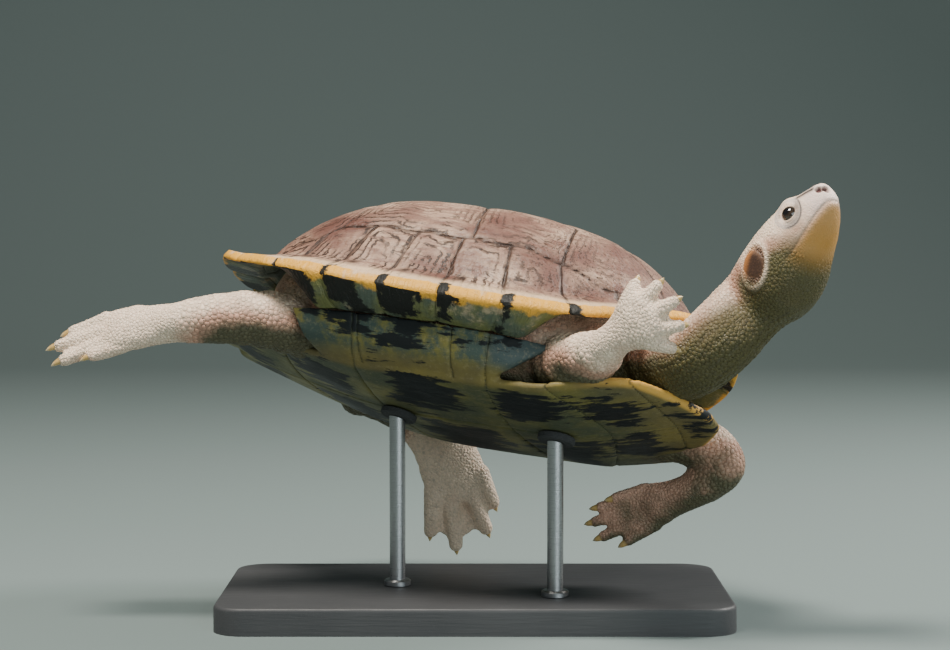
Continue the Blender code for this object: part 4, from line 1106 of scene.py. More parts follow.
@dataclass
class Plastron:
    """The lower shell with its bridges, its plates and their black blotches."""

    form: ShellForm
    level: float = -27.0
    thickness: float = 4.0
    sag: float = 2.0
    front_x: float = 98.5
    rear_x: float = -101.0
    anal_notch: float = 7.0
    bridge_wall: float = 3.4
    gap: float = 0.2
    voxel: float = 0.85
    half_widths: tuple = (
        (-101.0, 11.5), (-96.0, 16.0), (-90.0, 20.5), (-78.0, 28.5), (-62.0, 38.0), (-42.0, 44.5),
        (-10.0, 47.5), (25.0, 47.5), (45.0, 48.0), (62.0, 48.5), (70.0, 48.0), (75.0, 46.5), (80.0, 42.5),
        (87.0, 30.5), (93.0, 18.5), (98.5, 6.0),
    )
    rises: tuple = (
        (-101.0, 14.5), (-85.0, 11.5), (-70.0, 8.6), (-52.0, 5.0), (-35.0, 2.2), (-15.0, 0.4), (40.0, 0.0),
        (52.0, 1.5), (62.0, 3.6), (70.0, 5.5), (76.0, 6.9), (82.0, 8.0), (88.0, 8.8), (98.5, 9.0),
    )
    plate_seams: tuple = ((84.0, 78.0), (60.0, 50.0), (22.0, 26.0), (-30.0, -26.0), (-66.0, -58.0))
    bridge_seams: tuple = (14.0, -22.0)
    blotch_reaches: tuple = (7.0, 12.0, 17.0, 19.0, 15.0, 9.0)
    blotch_outs: tuple = (10.0, 23.0, 25.0, 30.0, 24.0, 12.0)
    bridge_blotches: tuple = (
        (-46.0, -39.0, 2.0), (-34.0, -20.0, 5.0), (-11.0, 5.0, 8.0), (11.0, 14.0, 3.0), (31.0, 35.0, 3.0),
    )

    def smooth_table(self, table: tuple, x: Array) -> Array:
        """A smooth reading of a table of stations and values."""
        fine = catmull_rom(table, 8)
        return np.interp(x, fine[:, 0], fine[:, 1])

    def surface(self, x: Array, across: Array) -> Array:
        """Points of the outer surface; across runs from -1 to 1 over the width."""
        z = self.level + self.smooth_table(self.rises, x)
        z = z - self.sag * (1 - across**2) * smooth_step(100 - np.abs(x), 0, 30)
        notch = self.anal_notch * np.maximum(0.0, 1 - np.abs(across) / 0.45) * smooth_step(-x, 92.0, 101.0)
        return np.stack([x + notch, self.smooth_table(self.half_widths, x) * across, z], axis=-1)

    def plate(self) -> Shape:
        """The flat plate with its two lobes, as rings round its long way."""
        stations = np.linspace(self.rear_x, self.front_x, 150)
        turns = turns_round(96)
        across, rise = squared(np.cos(turns), 0.35), squared(np.sin(turns), 0.35)
        rings = []
        for x in stations:
            point = self.surface(np.full(len(turns), x), across)
            edge = smooth_step(min(x - self.rear_x, self.front_x - x), -0.5, 1.5)
            point[:, 2] += self.thickness * (0.5 + 0.5 * rise * edge)
            rings.append(point)
        return loft(rings)

    def bridge(self, side: int) -> Shape:
        """The wall from the plate's edge up to the rim's lip, as rings along the body."""
        rises = np.linspace(0, 1, 16)
        rings = []
        for along in np.linspace(0, 1, 60):
            low_x, high_x = -38 + 60 * along, -50 + 100 * along
            x = low_x + (high_x - low_x) * rises
            top = self.form.lip_rho * self.form.half_width_at(x / self.form.lip_rho)
            low_y = self.smooth_table(self.half_widths, low_x) - 3.5
            bulge = np.sin(rises * np.pi) * 2.2
            low_z = self.level + self.smooth_table(self.rises, low_x) + 1.0
            y = low_y + (top - low_y) * rises + bulge
            z = low_z + (self.form.lip_z - self.gap - low_z) * rises**1.15 - bulge
            outer = np.stack([x, y, z], axis=1)
            inward = np.array([0.0, self.bridge_wall * 1.15, -self.bridge_wall * 0.35])
            inner = outer - inward * (1 - 0.35 * rises[:, None])
            inner[:, 2] = np.minimum(inner[:, 2], self.form.lip_z - self.gap)
            ring = np.vstack([outer, inner[::-1]])
            ring[:, 1] *= side
            rings.append(ring)
        return loft(rings)

    def build(self, material: Material) -> None:
        """Joins the plate and both bridges into one skin and dresses it."""
        shape = self.plate().joined(self.bridge(1)).joined(self.bridge(-1))
        obj = make_union("plastron_shell", shape, self.voxel, 7)
        obj.data.shade_smooth()
        flat = POSE.to_turtle(mesh_points(obj))
        seam, blotch = self.plates(flat)
        x, y, z = flat.T
        raise_points(obj, -0.5 * np.exp(-((seam / 0.6) ** 2)) + 0.25 * noise(flat, 18.0, 21, 3))
        edge_y = self.smooth_table(self.half_widths, x) - np.abs(y)
        front = smooth_step(x, 55.0, 85.0)
        wall = smooth_step(np.abs(y), 44.0, 50.0)
        wall *= smooth_step(z, self.level + 3.0, self.level + 8.0)
        wall = wall * (1 - smooth_step(np.abs(x), 52.0, 58.0))
        lobes = np.maximum(front, smooth_step(-x, 60.0, 85.0))
        edge = smooth_step(-edge_y, -4.5, -0.5) * (0.15 + 0.85 * lobes) + 0.15 * front
        # Painted shade on the front of the bridge walls, by the forelegs' pockets.
        edge, pocket = np.clip(edge * (1 - wall), 0, 1), wall * smooth_step(x, 24.0, 31.0)
        store(obj, place=flat * MM, seam=seam, blotch=blotch, edge=edge, wall=wall, pocket=pocket)
        finish_piece(obj, material, ["plastron"])

    def plates(self, flat: Array) -> tuple[Array, Array]:
        """The distance to the nearest seam and how far inside a black blotch each point is.

        Args:
            flat: Points in the turtle's frame, in millimetres.

        Returns:
            Two numbers for each point, both in millimetres.
        """
        x, y = flat[:, 0], np.abs(flat[:, 1])
        seam = y.copy()
        lines = []
        for middle, outer in self.plate_seams:
            line = middle + (outer - middle) * np.clip(y / 45.0, 0, 1.3) ** 1.5
            lines.append(line)
            seam = np.minimum(seam, np.abs(x - line))
        on_bridge = smooth_step(y, 44.0, 50.0)
        for station in self.bridge_seams:
            seam = np.where(on_bridge > 0.5, np.minimum(seam, np.abs(x - station)), seam)
        blotch = np.full(len(x), -9.0)
        bounds = [np.full(len(x), 100.0), *lines, np.full(len(x), -99.0)]
        for index, (reach, out) in enumerate(zip(self.blotch_reaches, self.blotch_outs)):
            middle = 0.5 * (bounds[index] + bounds[index + 1]) - 2.0
            across = (np.abs(y - out) / (out * 0.72)) ** 2
            along = ((x - middle) / (reach * 0.85)) ** 2
            blotch = np.maximum(blotch, (1 - np.sqrt(across + along)) * reach * 0.7)
        blotch = np.where(on_bridge > 0.5, np.minimum(blotch, -8.0), blotch)
        for rear, front, drop in self.bridge_blotches:
            inside = np.minimum(0.8 * np.minimum(x - rear, front - x), flat[:, 2] - (self.form.lip_z - drop))
            blotch = np.where(on_bridge > 0.5, np.maximum(blotch, inside), blotch)
        return seam, blotch


# ---------------------------------------------------------------------------------------------
# Flesh


@dataclass
class Path:
    """A limb's middle line with its oval sections, in the turtle's frame."""

    name: str
    stations: tuple
    up: tuple = (0.0, 0.0, 1.0)
    end_axis: Array | None = None
    round_end: bool = False

    def rows(self, per_span: int) -> Array:
        """Smooth stations along the limb."""
        return catmull_rom(self.stations, per_span)

    def frames(self, centres: Array, turn_rings: int) -> Array:
        """A tangent, side and upright direction at each centre, which don't twist along the limb."""
        tangents = [unit(tangent) for tangent in np.gradient(centres, axis=0)]
        if self.end_axis is not None:
            last = len(tangents) - 1 - turn_rings // 4
            for index, tangent in enumerate(tangents):
                share = smooth_step(index, last - turn_rings, last)
                tangents[index] = unit(tangent + (self.end_axis - tangent) * share)
        side = unit(np.cross(self.up, tangents[-1]))
        frames = []
        for tangent in reversed(tangents):
            side = unit(side - tangent * np.dot(side, tangent))
            frames.append((tangent, side, np.cross(tangent, side)))
        return np.array(frames[::-1])

    def shape(self, sides: int, per_span: int) -> Shape:
        """The limb as a closed tube of oval section."""
        rows = self.rows(per_span)
        frames = self.frames(rows[:, :3], 4 * per_span)
        turns = turns_round(sides)
        across, rise = np.cos(turns)[None, :, None], np.sin(turns)[None, :, None]
        wide, high = rows[:, 3][:, None, None], rows[:, 4][:, None, None]
        rings = rows[:, None, :3] + frames[:, 1][:, None] * wide * across
        rings = rings + frames[:, 2][:, None] * high * rise
        end = rows[-1, :3]
        if self.round_end:
            reach = min(rows[-1][3:5])
            tangent = frames[-1, 0]
            caps = []
            for turn in np.linspace(0, np.pi / 2, 7)[1:-1]:
                caps.append(end + tangent * reach * math.sin(turn) + (rings[-1] - end) * math.cos(turn))
            rings = np.vstack([rings, np.array(caps)])
            end = end + tangent * reach
        return loft(rings, rows[0, :3], end)


@dataclass
class HeadForm:
    """The head's sizes in its own frame, in millimetres: x to the snout, y to its left, z up."""

    origin: tuple = (113.8, -32.3, 24.5)
    yaw: float = -46.8
    pitch: float = 37.8
    roll: float = 26.5
    reach: float = 70.0
    stations: tuple = (
        (0.0, 13.2, 11.6, -17.0), (9.0, 14.5, 12.1, -18.6), (18.0, 14.2, 12.2, -16.4),
        (26.0, 12.4, 11.7, -12.8), (33.0, 10.3, 10.2, -10.2), (39.5, 7.6, 8.0, -7.8),
        (44.5, 4.9, 6.2, -4.6), (46.4, 3.1, 5.2, -1.6),
    )
    snout_tip: tuple = (47.4, -1.2, 3.2)
    snout_swing: float = -1.2
    eye: tuple = (33.0, 7.7, 3.4)
    look: tuple = (0.30, 0.92, 0.22)
    eye_radius: float = 3.2
    lid_radius: float = 3.8
    lid_inside: float = 2.7
    eye_opening: float = 63.0
    brow: tuple = (33.5, 6.3, 8.4)
    canthus: tuple = ((38.6, 6.3, 6.1), (44.0, 5.2, 4.4))
    drum_radii: tuple = (6.6, 4.7)
    drum_lean: float = 33.0
    throat: tuple = (1.0, 0.0, -14.5)
    ear: tuple = (13.0, 13.4, -1.0)
    ear_radii: tuple = (5.4, 1.8, 5.4)
    mouth: tuple = ((60.0, -2.2), (45.0, -2.9), (38.0, -4.6), (25.0, -7.8))
    nostrils: tuple = ((45.9, -4.6, 2.6), (46.9, -2.3, 1.7))
    nostril_radius: float = 1.25

    def axes(self) -> Array:
        """The head's own directions in the turtle's frame, as rows: forward, left and up."""
        yaw, pitch, roll = (math.radians(angle) for angle in (self.yaw, self.pitch, self.roll))
        level = math.cos(pitch)
        forward = np.array([level * math.cos(yaw), level * math.sin(yaw), math.sin(pitch)])
        level = np.array([-math.sin(yaw), math.cos(yaw), 0.0])
        upright = np.cross(forward, level)
        left = level * math.cos(roll) + upright * math.sin(roll)
        return np.array([forward, left, np.cross(forward, left)])

    def to_turtle(self, points: Array) -> Array:
        """Points of the head's frame in the turtle's frame."""
        return np.array(self.origin) + np.asarray(points, float) @ self.axes()

    def to_head(self, points: Array) -> Array:
        """Points of the turtle's frame in the head's frame."""
        return (np.asarray(points, float) - np.array(self.origin)) @ self.axes().T

    def skull(self) -> Shape:
        """The head's main form, fuller at the cheeks than an ellipse."""
        rows = catmull_rom(self.stations, 8)
        turns = turns_round(72)
        across, rise = squared(np.cos(turns), 0.86), squared(np.sin(turns), 0.9)
        rings = []
        for x, wide, top, bottom in rows:
            swing = self.snout_swing * smooth_step(x, 31.0, 46.4)
            z = 0.5 * (top + bottom) + 0.5 * (top - bottom) * rise
            ring = np.stack([np.full(72, x), swing + wide * across, z], axis=1)
            rings.append(self.to_turtle(ring))
        return loft(rings, self.to_turtle((0.0, 0.0, 0.0)), self.to_turtle(self.snout_tip))

    def ball(self, centre: Array, radii: tuple, sides: int = 48) -> Shape:
        """An ellipsoid whose radii lie along the head's axes."""
        polar = np.linspace(0, np.pi, sides // 2 + 1)[1:-1, None]
        turns = turns_round(sides)[None]
        parts = np.sin(polar) * np.cos(turns), np.cos(polar), np.sin(polar) * np.sin(turns)
        radii = np.array(radii)
        rings = self.to_turtle(centre + np.stack(np.broadcast_arrays(*parts), axis=-1) * radii)
        pole = np.array([0.0, radii[1], 0.0])
        return loft(rings, self.to_turtle(centre + pole), self.to_turtle(centre - pole))

    def drum_share(self, points: Array) -> Array:
        """How far out points are on the leaning oval round an eardrum, with 1 at its border."""
        lean = math.radians(self.drum_lean)
        away = points[:, [0, 2]] - np.array([self.ear[0], self.ear[2]])
        long_way = away @ np.array([math.cos(lean), math.sin(lean)]) / self.drum_radii[0]
        short_way = away @ np.array([-math.sin(lean), math.cos(lean)]) / self.drum_radii[1]
        return np.hypot(long_way, short_way)

    def mirrored(self, place: tuple, side: int) -> Array:
        """A place of the head, on one side of it."""
        return np.array([place[0], side * place[1], place[2]])

    def is_near(self, flat: Array) -> Array:
        """Whether points of the turtle's frame are near the head."""
        return np.linalg.norm(flat - np.array(self.origin), axis=1) < self.reach

    def mouth_line(self, x: Array) -> Array:
        """The height of the mouth's line at stations of the head."""
        stations, heights = zip(*self.mouth[::-1])
        return np.interp(x, stations, heights)

    def gaze(self, points: Array, side: int) -> tuple[Array, Array, Array]:
        """How points lie round an eye.

        Args:
            points: Points in the head's frame.
            side: -1 for the right eye and 1 for the left one.

        Returns:
            The way from the eye's middle, its length, and its angle from the eye's look in degrees.
        """
        away = points - self.mirrored(self.eye, side)
        radius = np.linalg.norm(away, axis=1)
        look = unit(self.mirrored(self.look, side))
        return away, radius, np.degrees(np.arccos(np.clip(away @ look / np.maximum(radius, 1e-6), -1, 1)))


@dataclass
class FootForm:
    """A webbed foot: the ankle, the palm and the tips of its clawed toes."""

    ankle: tuple
    palm: tuple
    tips: tuple
    palm_size: float
    toe_radius: float
    claw_length: float
    web_reach: float

    def __post_init__(self) -> None:
        """Turns the places into arrays."""
        self.ankle, self.palm = np.array(self.ankle), np.array(self.palm)
        self.tips = [np.array(tip) for tip in self.tips]

    def normal(self) -> Array:
        """The direction that the sole's plane faces."""
        across = self.tips[-1] - self.tips[0]
        return unit(np.cross(self.palm - self.ankle, across))

    def root(self, index: int) -> Array:
        """Where a toe leaves the palm, spread across it."""
        share = index / (len(self.tips) - 1) - 0.5
        across = unit(self.tips[-1] - self.tips[0])
        return self.palm + across * share * 1.5 * self.palm_size

    def web(self) -> Shape:
        """The thin fan of skin between the toes."""
        normal = self.normal()
        rim = []
        for index, tip in enumerate(self.tips):
            root = self.root(index)
            rim.append(root + (tip - root) * max(0.66, self.web_reach))
            if index + 1 < len(self.tips):
                between = (root + self.root(index + 1)) / 2
                far = (tip + self.tips[index + 1]) / 2
                rim.append(between + (far - between) * self.web_reach)
        start = self.palm + (self.ankle - self.palm) * 0.3
        outline = np.array([start, *rim])
        count = len(outline)
        points = np.vstack([outline + normal * 0.75, outline - normal * 0.75])
        top = [(0, i, i + 1) for i in range(1, count - 1)]
        bottom = [(count, count + i + 1, count + i) for i in range(1, count - 1)]
        wall = [(i, (i + 1) % count, (i + 1) % count + count, i + count) for i in range(count)]
        quads = np.array(wall)[:, ::-1]
        return Shape(points, quads, np.array(top + bottom)).outward()

    def shape(self, ankle_size: tuple) -> Shape:
        """Palm, toes and web as overlapping closed pieces."""
        ankle, palm, normal = self.ankle, self.palm, self.normal()
        back = unit(palm - ankle)
        end = palm + back * self.palm_size * 0.5
        stations = (
            (*(ankle - back * 2.0), ankle_size[0] * 0.97, ankle_size[1] * 0.97),
            (*palm, self.palm_size, 4.6), (*end, self.palm_size * 0.86, 3.0),
        )
        whole = Path("palm", stations, tuple(normal), round_end=True).shape(40, 10).joined(self.web())
        for index, tip in enumerate(self.tips):
            root = self.root(index)
            knuckle = root + (tip - root) * 0.55 - normal * 0.6
            r = self.toe_radius
            toe = ((*root, r * 1.25, r * 1.1), (*knuckle, r, r), (*tip, r * 0.82, r * 0.8))
            whole = whole.joined(Path("toe", toe, tuple(normal), round_end=True).shape(20, 6))
        return whole

    def claw(self, index: int) -> tuple[Shape, Array]:
        """One curved claw, with each point's share of the way to its tip."""
        tip, normal = self.tips[index], self.normal()
        root = self.root(index)
        along = unit(unit(tip - root) * 0.97 + normal * 0.1)
        length = self.claw_length
        stations = []
        for share in np.linspace(0, 1, 7):
            bend = 0.55 * math.sin(share * math.pi) - 0.75 * share**2
            centre = tip + along * (-2.5 + (length + 2.5) * share) + normal * bend
            size = 1.45 * (1 - share**2.2) ** 0.7 + 0.12
            stations.append((*centre, size, size * 0.86))
        shape = Path("claw", tuple(stations), tuple(normal), round_end=True).shape(18, 4)
        along_share = (shape.points - tip) @ along / length
        return shape, np.clip(along_share, 0, 1)


NECK = (
    (50.0, -3.0, -6.0, 17.0, 11.5), (66.0, -11.0, -6.0, 16.6, 11.2), (80.0, -20.0, -4.8, 15.8, 10.6),
    (90.5, -27.5, -3.8, 14.6, 11.2), (98.5, -32.0, 0.0, 13.6, 12.2), (105.5, -34.0, 7.8, 13.2, 13.0),
    (111.0, -33.6, 16.5, 13.0, 13.3),
)
NECK_IN_HEAD = ((0.0, -1.6, 12.9, 13.0), (6.5, -1.2, 10.5, 10.5))
LIMBS = {
    "foreleg_right": ((
        (38.0, -22.0, -11.0, 14.0, 11.5), (52.0, -38.0, -12.5, 12.5, 10.5), (62.0, -48.5, -13.0, 10.5, 9.0),
        (69.5, -56.5, -12.0, 8.4, 7.4), (75.4, -62.7, -8.9, 6.8, 5.8),
    ), (0.0, 0.0, 1.0)),
    "foreleg_left": ((
        (38.0, 22.0, -11.0, 14.0, 11.5), (58.0, 33.0, -12.5, 12.0, 10.0), (78.0, 36.5, -13.5, 10.0, 9.0),
        (88.5, 36.5, -16.5, 9.2, 8.8), (93.2, 38.5, -21.6, 8.4, 8.2), (87.6, 42.0, -27.4, 7.8, 8.0),
        (79.0, 45.0, -33.5, 7.2, 8.6),
    ), (0.0, 1.0, 0.3)),
    "hind_leg_right": ((
        (-38.0, -24.0, -9.0, 17.0, 12.0), (-54.0, -38.0, -11.0, 15.0, 11.5),
        (-68.0, -49.5, -14.0, 12.5, 10.2), (-80.0, -56.0, -18.0, 10.5, 9.0),
        (-90.0, -59.3, -21.5, 9.2, 7.8), (-98.0, -61.0, -24.0, 9.0, 7.0),
    ), (0.0, -0.3, 1.0)),
    "hind_leg_left": ((
        (-44.0, 26.0, -8.0, 16.0, 11.0), (-58.0, 42.0, -9.0, 12.0, 9.8), (-67.0, 53.0, -8.5, 9.5, 8.0),
        (-63.0, 62.0, -8.5, 8.0, 7.6), (-54.0, 67.0, -10.5, 8.0, 7.4), (-45.0, 70.5, -13.6, 10.0, 7.4),
        (-36.3, 75.6, -19.0, 12.5, 7.4),
    ), (-0.37, 0.89, 0.28)),
}
TAIL = (
    (-72.0, 3.0, -7.0, 9.0, 8.0), (-85.0, 8.0, -6.0, 6.5, 6.0), (-93.0, 15.5, -4.5, 4.8, 4.6),
    (-95.5, 25.0, -3.2, 3.4, 3.3), (-92.0, 35.0, -2.4, 2.2, 2.1), (-87.0, 41.0, -2.0, 1.2, 1.1),
)
FEET = {
    "foreleg_right": FootForm(
        (75.4, -62.7, -8.9), (83.6, -67.3, -3.6),
        (
            (80.5, -69.2, 9.4), (88.6, -70.2, 9.2), (94.8, -68.0, 5.0), (97.4, -64.0, -2.0),
            (95.2, -60.4, -9.0),
        ),
        9.6, 2.6, 3.8, 0.80,
    ),
    "foreleg_left": FootForm(
        (79.0, 45.0, -33.0), (67.5, 46.2, -39.0),
        (
            (53.5, 41.0, -39.5), (48.0, 42.5, -43.5), (46.6, 44.4, -49.0), (50.6, 46.0, -53.8),
            (60.0, 47.5, -54.0),
        ),
        8.4, 2.5, 4.4, 0.80,
    ),
    "hind_leg_right": FootForm(
        (-98.0, -61.0, -24.0), (-113.0, -64.0, -29.3),
        ((-130.5, -66.4, -33.0), (-133.6, -68.2, -39.6), (-130.0, -67.9, -44.6), (-119.5, -66.5, -41.0)),
        8.6, 2.9, 5.2, 0.88,
    ),
    "hind_leg_left": FootForm(
        (-36.3, 75.6, -19.0), (-29.0, 83.2, -32.2),
        ((-15.4, 94.3, -36.4), (-17.0, 97.5, -47.0), (-27.5, 95.5, -56.2), (-36.9, 88.2, -53.6)),
        13.2, 3.6, 4.6, 0.93,
    ),
}


class CoatSize(Enum):
    """The coats of scales: their name, spacing, radius and height in millimetres."""

    BROAD = ("legs", 1.7, 1.05, 0.20)
    FINE = ("neck", 1.35, 0.82, 0.13)
    FINEST = ("feet_and_face", 1.15, 0.66, 0.10)


class ScaleCoat:
    """Low horny scales that Geometry Nodes lay over the skin."""

    sides: int = 6
    seed: int = 7
    density: float = 2.5e6
    variety: tuple = (0.8, 1.15)
    patch: float = 0.003

    def __init__(self) -> None:
        """Makes one scale and the tree that lays it."""
        turns = turns_round(self.sides)
        circle = np.stack([np.cos(turns), np.sin(turns), np.zeros(self.sides)], axis=1)
        rings = [circle - [0, 0, 0.35], circle * [0.74, 0.74, 0] + [0, 0, 0.72]]
        shape = loft(rings, np.array([0, 0, -0.35]), np.array([0, 0, 1.0]))
        whole = Shape(shape.points / MM, shape.quads, shape.triangles)
        self.tile = make_mesh("scale_tile", whole, place=False)
        store(self.tile, spot=shape.points * [0.5, 0.5, 0.0])
        self.tree = self.make_tree()

    def make_tree(self) -> Tree:
        """Points over the skin, a scale on each, turned along the lie and made real."""
        tree = bpy.data.node_groups.new("scale_coat", "GeometryNodeTree")
        face = tree.interface
        face.new_socket("Skin", in_out="INPUT", socket_type="NodeSocketGeometry")
        face.new_socket("Scale", in_out="INPUT", socket_type="NodeSocketObject")
        for label in ("Spacing", "Radius", "Height"):
            face.new_socket(label, in_out="INPUT", socket_type="NodeSocketFloat")
        face.new_socket("Material", in_out="INPUT", socket_type="NodeSocketMaterial")
        face.new_socket("Coat", in_out="OUTPUT", socket_type="NodeSocketGeometry")
        kit = Kit(tree)
        given, target = kit.add("NodeGroupInput").outputs, kit.add("NodeGroupOutput")
        cover = kit.feed(kit.add("GeometryNodeInputNamedAttribute", data_type="FLOAT"), Name="coat")
        lie = kit.feed(kit.add("GeometryNodeInputNamedAttribute", data_type="FLOAT_VECTOR"), Name="lie")
        spread = kit.add("GeometryNodeDistributePointsOnFaces", distribute_method="POISSON")
        kit.feed(spread, Mesh=given["Skin"], Distance_Min=given["Spacing"], Density_Max=self.density)
        kit.feed(spread, Density_Factor=cover.outputs["Attribute"], Seed=self.seed)
        upright = kit.add("FunctionNodeAlignRotationToVector", axis="Z")
        kit.feed(upright, Vector=spread.outputs["Normal"])
        turned = kit.add("FunctionNodeAlignRotationToVector", axis="X", pivot_axis="Z")
        kit.feed(turned, Rotation=upright.outputs["Rotation"], Vector=lie.outputs["Attribute"])
        size = kit.feed(
            kit.add("ShaderNodeCombineXYZ"), X=given["Radius"], Y=given["Radius"], Z=given["Height"]
        )
        chance = kit.feed(kit.add("FunctionNodeRandomValue", data_type="FLOAT"), Seed=self.seed)
        chance.inputs[2].default_value, chance.inputs[3].default_value = self.variety
        varied = kit.add("ShaderNodeVectorMath", operation="SCALE")
        kit.feed(varied, Vector=size.outputs[0], Scale=chance.outputs[1])
        tile = kit.feed(kit.add("GeometryNodeObjectInfo"), Object=given["Scale"])
        laid = kit.add("GeometryNodeInstanceOnPoints")
        kit.feed(laid, Points=spread.outputs["Points"], Instance=tile.outputs["Geometry"])
        kit.feed(laid, Rotation=turned.outputs["Rotation"], Scale=varied.outputs[0])
        real = kit.feed(kit.add("GeometryNodeRealizeInstances"), Geometry=laid.outputs["Instances"])
        dressed = kit.add("GeometryNodeSetMaterial")
        kit.feed(dressed, Geometry=real.outputs[0], Material=given["Material"])
        kit.feed(target, Coat=dressed.outputs[0])
        return tree

    def build(self, skin: Piece, size: CoatSize, fields: dict[str, Array], material: Material) -> None:
        """Lays one coat over the skin.

        Args:
            skin: The skin, with its masks.
            size: Which coat.
            fields: For each point of the skin, under coat whether the coat grows there, under lie the
                direction along the limb, and under bake its place on the skin's unwrap.
            material: The skin's material.
        """
        name, spacing, radius, height = size.value
        obj = add_object(f"scales_{name}", skin.data.copy())
        store(obj, **fields)
        layer = obj.modifiers.new("scales", "NODES")
        layer.node_group = self.tree
        values = {
            "Scale": self.tile, "Spacing": spacing * MM, "Radius": radius * MM, "Height": height * MM,
            "Material": material,
        }
        for item in self.tree.interface.items_tree:
            if item.in_out == "INPUT" and item.name in values:
                layer[item.identifier] = values[item.name]
        apply_modifiers(obj)
        self.unwrap(obj)
        finish_piece(obj, material, [])

    def unwrap(self, obj: Piece) -> None:
        """Gives each scale its own small patch at its root's place on the skin's unwrap."""
        mesh = obj.data
        bake, spot = (read(mesh.attributes[name].data, "vector") for name in ("bake", "spot"))
        corners = np.zeros(len(mesh.loops), dtype=np.int32)
        mesh.loops.foreach_get("vertex_index", corners)
        flat = (bake + spot * self.patch)[corners, :2]
        mesh.uv_layers.new(name="OFBake").data.foreach_set("uv", flat.astype(np.float32).ravel())


